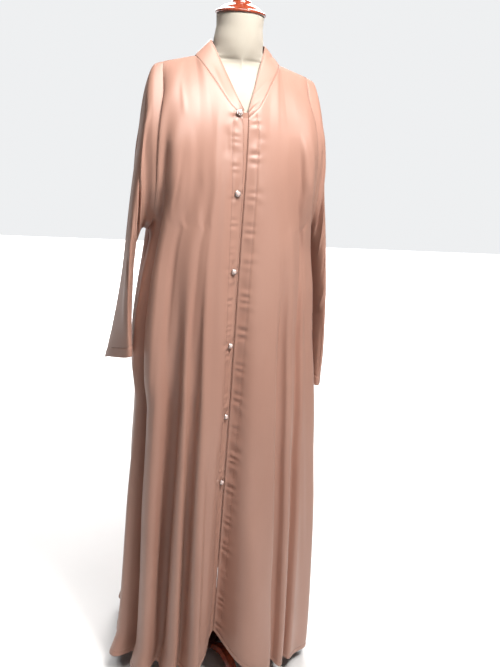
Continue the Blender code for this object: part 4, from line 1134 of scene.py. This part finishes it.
def stitches(sheet, *rows):
    """Rows of short stitches that lie on the cloth beside its edges, as one piece."""
    points, faces = [], []
    for edge, distance in rows:
        line, normals = line_beside(sheet["grid"], sheet["normals"], distance, edge)
        run = arc(line)
        for start in np.arange(STITCH_PITCH, run[-1] - STITCH_PITCH, STITCH_PITCH):
            ends = [at(line, run, place) for place in (start, start + STITCH_LENGTH)]
            up = unit(at(normals, run, start))
            side = np.cross(unit(ends[1] - ends[0]), up)
            base = len(points)
            sunk = up * STITCH_RADIUS * STITCH_DIP
            points.append(ends[0] - sunk)
            for share in STITCH_FULL:
                middle = ends[0] + (ends[1] - ends[0]) * share
                points += [middle + (side * a + up * b) * STITCH_RADIUS
                           for a, b in ((1, 0), (0, 1), (-1, 0), (0, -1))]
            points.append(ends[1] - sunk)
            for k in range(4):
                j = (k + 1) % 4
                faces.append((base, base + 1 + j, base + 1 + k))
                faces.append((base + 1 + k, base + 1 + j, base + 5 + j, base + 5 + k))
                faces.append((base + 5 + k, base + 5 + j, base + 9))
    name = "stitches_" + sheet["node"]
    return keep(array_mesh(name, points, faces, (thread,)), "satin")


# ---------------- turned parts
def lathe(name, profile, finish, segments, centre_y=0.0):
    """Spin a profile of radius and height."""
    points, faces, starts = [], [], []
    for radius, height in profile:
        starts.append((len(points), radius > 0.0))
        for k in range(segments if radius > 0.0 else 1):
            angle = 2 * math.pi * k / segments
            points.append((radius * math.cos(angle), centre_y + radius * math.sin(angle), height))
    for (low, low_ring), (high, high_ring) in zip(starts, starts[1:]):
        for k in range(segments):
            j = (k + 1) % segments
            corners = [low + k * low_ring, low + j * low_ring,
                       high + j * high_ring, high + k * high_ring]
            faces.append(tuple(dict.fromkeys(corners)))
    return array_mesh(name, points, faces, (finish,))


def rounded(profile, steps=4):
    """A profile with smooth curves between its points."""
    points = np.array(profile)
    run = arc(points)
    rows = [(place, *point) for place, point in zip(run, points)]
    fine = np.concatenate(
        [np.linspace(a, b, steps, endpoint=False) for a, b in zip(run, run[1:])] + [run[-1:]]
    )
    radius, height = read(rows, fine)
    radius = np.maximum(radius, 0.0)
    radius[0] = radius[-1] = 0.0
    return list(zip(radius, height))


def button(index, sheet):
    """A pearly dome in a silvery rim, on a short wound shank, beside the front edge."""
    grid, normals = sheet["grid"], sheet["normals"]
    row = int(np.argmin(np.abs(grid[:, 0, 2] - (BUTTON_TOP - BUTTON_STEP * index))))
    across = runs(grid, 1)[row]
    column = int(np.searchsorted(across, BUTTON_INSET))
    near = normals[max(row - 4, 0):row + 5, max(column - 3, 0):column + 4]
    normal = Vector(unit(near.reshape(-1, 3).mean(axis=0)))
    turn = Vector((0.0, 0.0, 1.0)).rotation_difference(normal).to_matrix().to_4x4()
    place = Matrix.Translation(Vector(at(grid[row], across, BUTTON_INSET))) @ turn
    node = f"button_{index + 1}"
    made = []
    for part, profile, finish, segments, steps, nodes in (
        ("rim", BUTTON_RIM, silver, 40, 4, ()), ("dome", BUTTON_DOME, pearl, 40, 4, (node,)),
        ("shank", BUTTON_SHANK, thread, 16, 1, ()),
    ):
        piece = lathe(f"{node}_{part}", rounded(profile, steps), finish, segments)
        piece.data.transform(place)
        made.append(keep(piece, "button", *nodes))
    return made


def form_torso():
    """Torso and neck of the dress form, lofted through level sections."""
    heights, *sections = np.array(sorted(FORM)).T
    levels = [np.linspace(low, high, FORM_STEPS, endpoint=False)
              for low, high in zip(heights, heights[1:])]
    levels = np.concatenate(levels + [heights[-1:]])
    angle = 2 * math.pi * np.arange(FORM_SEGMENTS) / FORM_SEGMENTS
    rings = []
    for z in levels:
        half_width, middle, front, back, power = (
            float(np.interp(z, heights, section)) for section in sections
        )
        across, along = (np.sign(part) * np.abs(part) ** (2 / power)
                         for part in (np.cos(angle), np.sin(angle)))
        depth = np.where(along > 0, back - middle, middle - front)
        rings.append(np.column_stack([
            half_width * across * FORM_EASE, middle + depth * along * FORM_EASE,
            np.full(FORM_SEGMENTS, z)]))
    grid = np.array(rings)
    across, front, height = np.moveaxis(grid, -1, 0).copy()
    calm = np.where(front < 0.0, 1.0, 0.0) * fade((FORM_CALM_X - np.abs(across)) / FORM_CALM_FADE)
    for inside in (height - FORM_CALM_LOW, FORM_CALM_HIGH - height):
        calm *= fade(inside / FORM_CALM_FADE)
    for _ in range(FORM_CALM_PASSES):
        mean = (np.roll(grid, 1, 1) + np.roll(grid, -1, 1))[1:-1] + grid[2:] + grid[:-2]
        change = calm[1:-1] * (mean[..., 1] / 4 - grid[1:-1, :, 1])
        grid[1:-1, :, 1] += FORM_CALM_SHARE * change
    round_it = np.arange(FORM_SEGMENTS + 1) / FORM_SEGMENTS * FORM_GIRTH
    faces, uvs = grid_faces(np.stack(np.meshgrid(round_it, levels), -1), FORM_SEGMENTS)
    points, ring = grid.reshape(-1, 3), np.arange(FORM_SEGMENTS)
    ends = [ring[::-1], ring + (len(levels) - 1) * FORM_SEGMENTS]
    uvs = np.concatenate([uvs.reshape(-1, 2), *(FORM_END_SCALE * points[end, :2] for end in ends)])
    made = array_mesh("form_cover", points, [*faces, *ends], (linen,), None, uvs)
    return keep(made, "linen", "form_torso")


# ---------------- the cloak
UNDERARM_ROW = YOKE_ROWS + ARMHOLE_ROWS
plain, dressed = {}, {}
for panel in FOLDS:
    plain[panel], shares, lengths = panel_grid(panel)
    soften_bend(plain[panel], YOKE_ROWS, *CHEST_BEND)
    to_side = fade((1.0 - shares[UNDERARM_ROW]) / WAIST_SIDE)
    soften_bend(plain[panel], UNDERARM_ROW, *WAIST_BEND, to_side)
    dressed[panel] = dress_panel(panel, plain[panel], shares, lengths)
stations = {panel: neck_stations(panel) for panel in FOLDS}

sheets = {}


def add_sheet(node, grid, flip, *sewn, closed=False):
    """Note a cloth piece: its grid, which way it faces and the edges that are sewn on."""
    sheets[node] = {"name": "cloak_" + node, "node": node, "grid": grid, "flip": flip,
                    "closed": closed, "sewn": sewn,
                    "normals": grid_normals(grid, closed, flip)}


for side in ("right", "left"):
    front, back = dressed[f"front_{side}"], dressed[f"back_{side}"]
    loop, turn = (part[::2] for part in armhole_loop(front, back))
    sleeve = dress_sleeve(f"sleeve_{side}", sleeve_grid(f"sleeve_{side}", loop, turn), turn)
    ease_armhole(front, back, sleeve)
    if side == "right":
        front, sleeve = mirrored(front), mirrored(sleeve)
    add_sheet(f"front_{side}", front, side == "left", "top", "last")
    add_sheet(f"sleeve_{side}", sleeve, side == "right", "top", closed=True)
back = np.concatenate([mirrored(dressed["back_right"])[:, :0:-1], dressed["back_left"]], axis=1)
add_sheet("back", back, False, "top", "first", "last")
add_sheet("neckband", dress_band(neckband_grid(stations)), True, "top")
add_sheet("underlap", underlap_grid(plain, stations), True)
share_seam_normals(sheets.values())
cloth = {node: shell(sheet) for node, sheet in sheets.items()}

EDGE_LINES = (("first", PLACKET), ("first", EDGE_STITCH), ("bottom", HEM_FOLD))
sewing = {node: stitches(sheets[node], *rows) for node, rows in (
    ("front_right", EDGE_LINES), ("front_left", EDGE_LINES), ("back", EDGE_LINES[2:]),
    ("sleeve_right", [("bottom", CUFF_FOLD)]), ("sleeve_left", [("bottom", CUFF_FOLD)]),
    ("neckband", (("bottom", BAND_STITCH), ("top", BAND_SEAM_STITCH))),
)}
fittings = [piece for i in range(BUTTON_COUNT) for piece in button(i, sheets["front_right"])]

# ---------------- the dress form
form_torso()
cap = lathe("form_cap", rounded(NECK_CAP), red_wood, TURNED_SEGMENTS, NECK_MIDDLE_Y)
keep(cap, "red_wood", "form_neck_cap")
hub = lathe("form_hub", rounded(HUB), dark_wood, TURNED_SEGMENTS)
keep(hub, "dark_wood", "stand_hub")
for node in ("stand_pole", "leg_1", "leg_2", "leg_3"):
    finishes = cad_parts[node].data.materials
    finishes.clear()
    finishes.append(steel if node == "stand_pole" else red_wood)

# ---------------- sheets of cloth: each one's stitches and buttons are gathered, and nothing more is done with them
for node, flat, area, held in SHEETS:
    with_pieces = [sewing[node]] if node in sewing else []
    if node == "front_right":
        with_pieces += fittings

# ---------------- floor and light
reach = FLOOR_SIZE / 2
floor = array_mesh("floor", [(-reach, -reach, 0.0), (reach, -reach, 0.0),
                             (reach, reach, 0.0), (-reach, reach, 0.0)],
                   [(0, 1, 2, 3)], (floor_finish(),))

for name, place, aim, size, power, colour in LIGHTS:
    lamp = bpy.data.lights.new(name, "AREA")
    lamp.size, lamp.energy, lamp.color = size, power, colour
    made = bpy.data.objects.new(name, lamp)
    made.location = place
    made.rotation_euler = (Vector(aim) - Vector(place)).to_track_quat("-Z", "Y").to_euler()
    scene.collection.objects.link(made)

world = bpy.data.worlds.new("studio")
world.use_nodes = True
tree = world.node_tree
place = add_node(tree, "ShaderNodeTexCoord").outputs["Generated"]
behind = (math.sin(CAMERA_YAW), math.cos(CAMERA_YAW), 0.0)
ahead = add_node(tree, "ShaderNodeVectorMath", {0: place}, {1: behind}, operation="DOT_PRODUCT")
wall = add_node(tree, "ShaderNodeMapRange", {"Value": ahead.outputs["Value"]},
                {"From Min": WALL_FROM, "From Max": WALL_TO}, interpolation_type="SMOOTHSTEP")
# The light is that of the dark room, but the backdrop is seen pale from every side.
ray = add_node(tree, "ShaderNodeLightPath").outputs["Is Camera Ray"]
pale = add_node(tree, "ShaderNodeMath", {0: wall.outputs["Result"], 1: ray},
                operation="MAXIMUM").outputs["Value"]
room = add_ramp(tree, pale, 0.0, 1.0, ROOM_DARK, ROOM_PALE)
tree.links.new(room, tree.nodes["Background"].inputs["Color"])
scene.world = world
scene.view_settings.view_transform = "Standard"
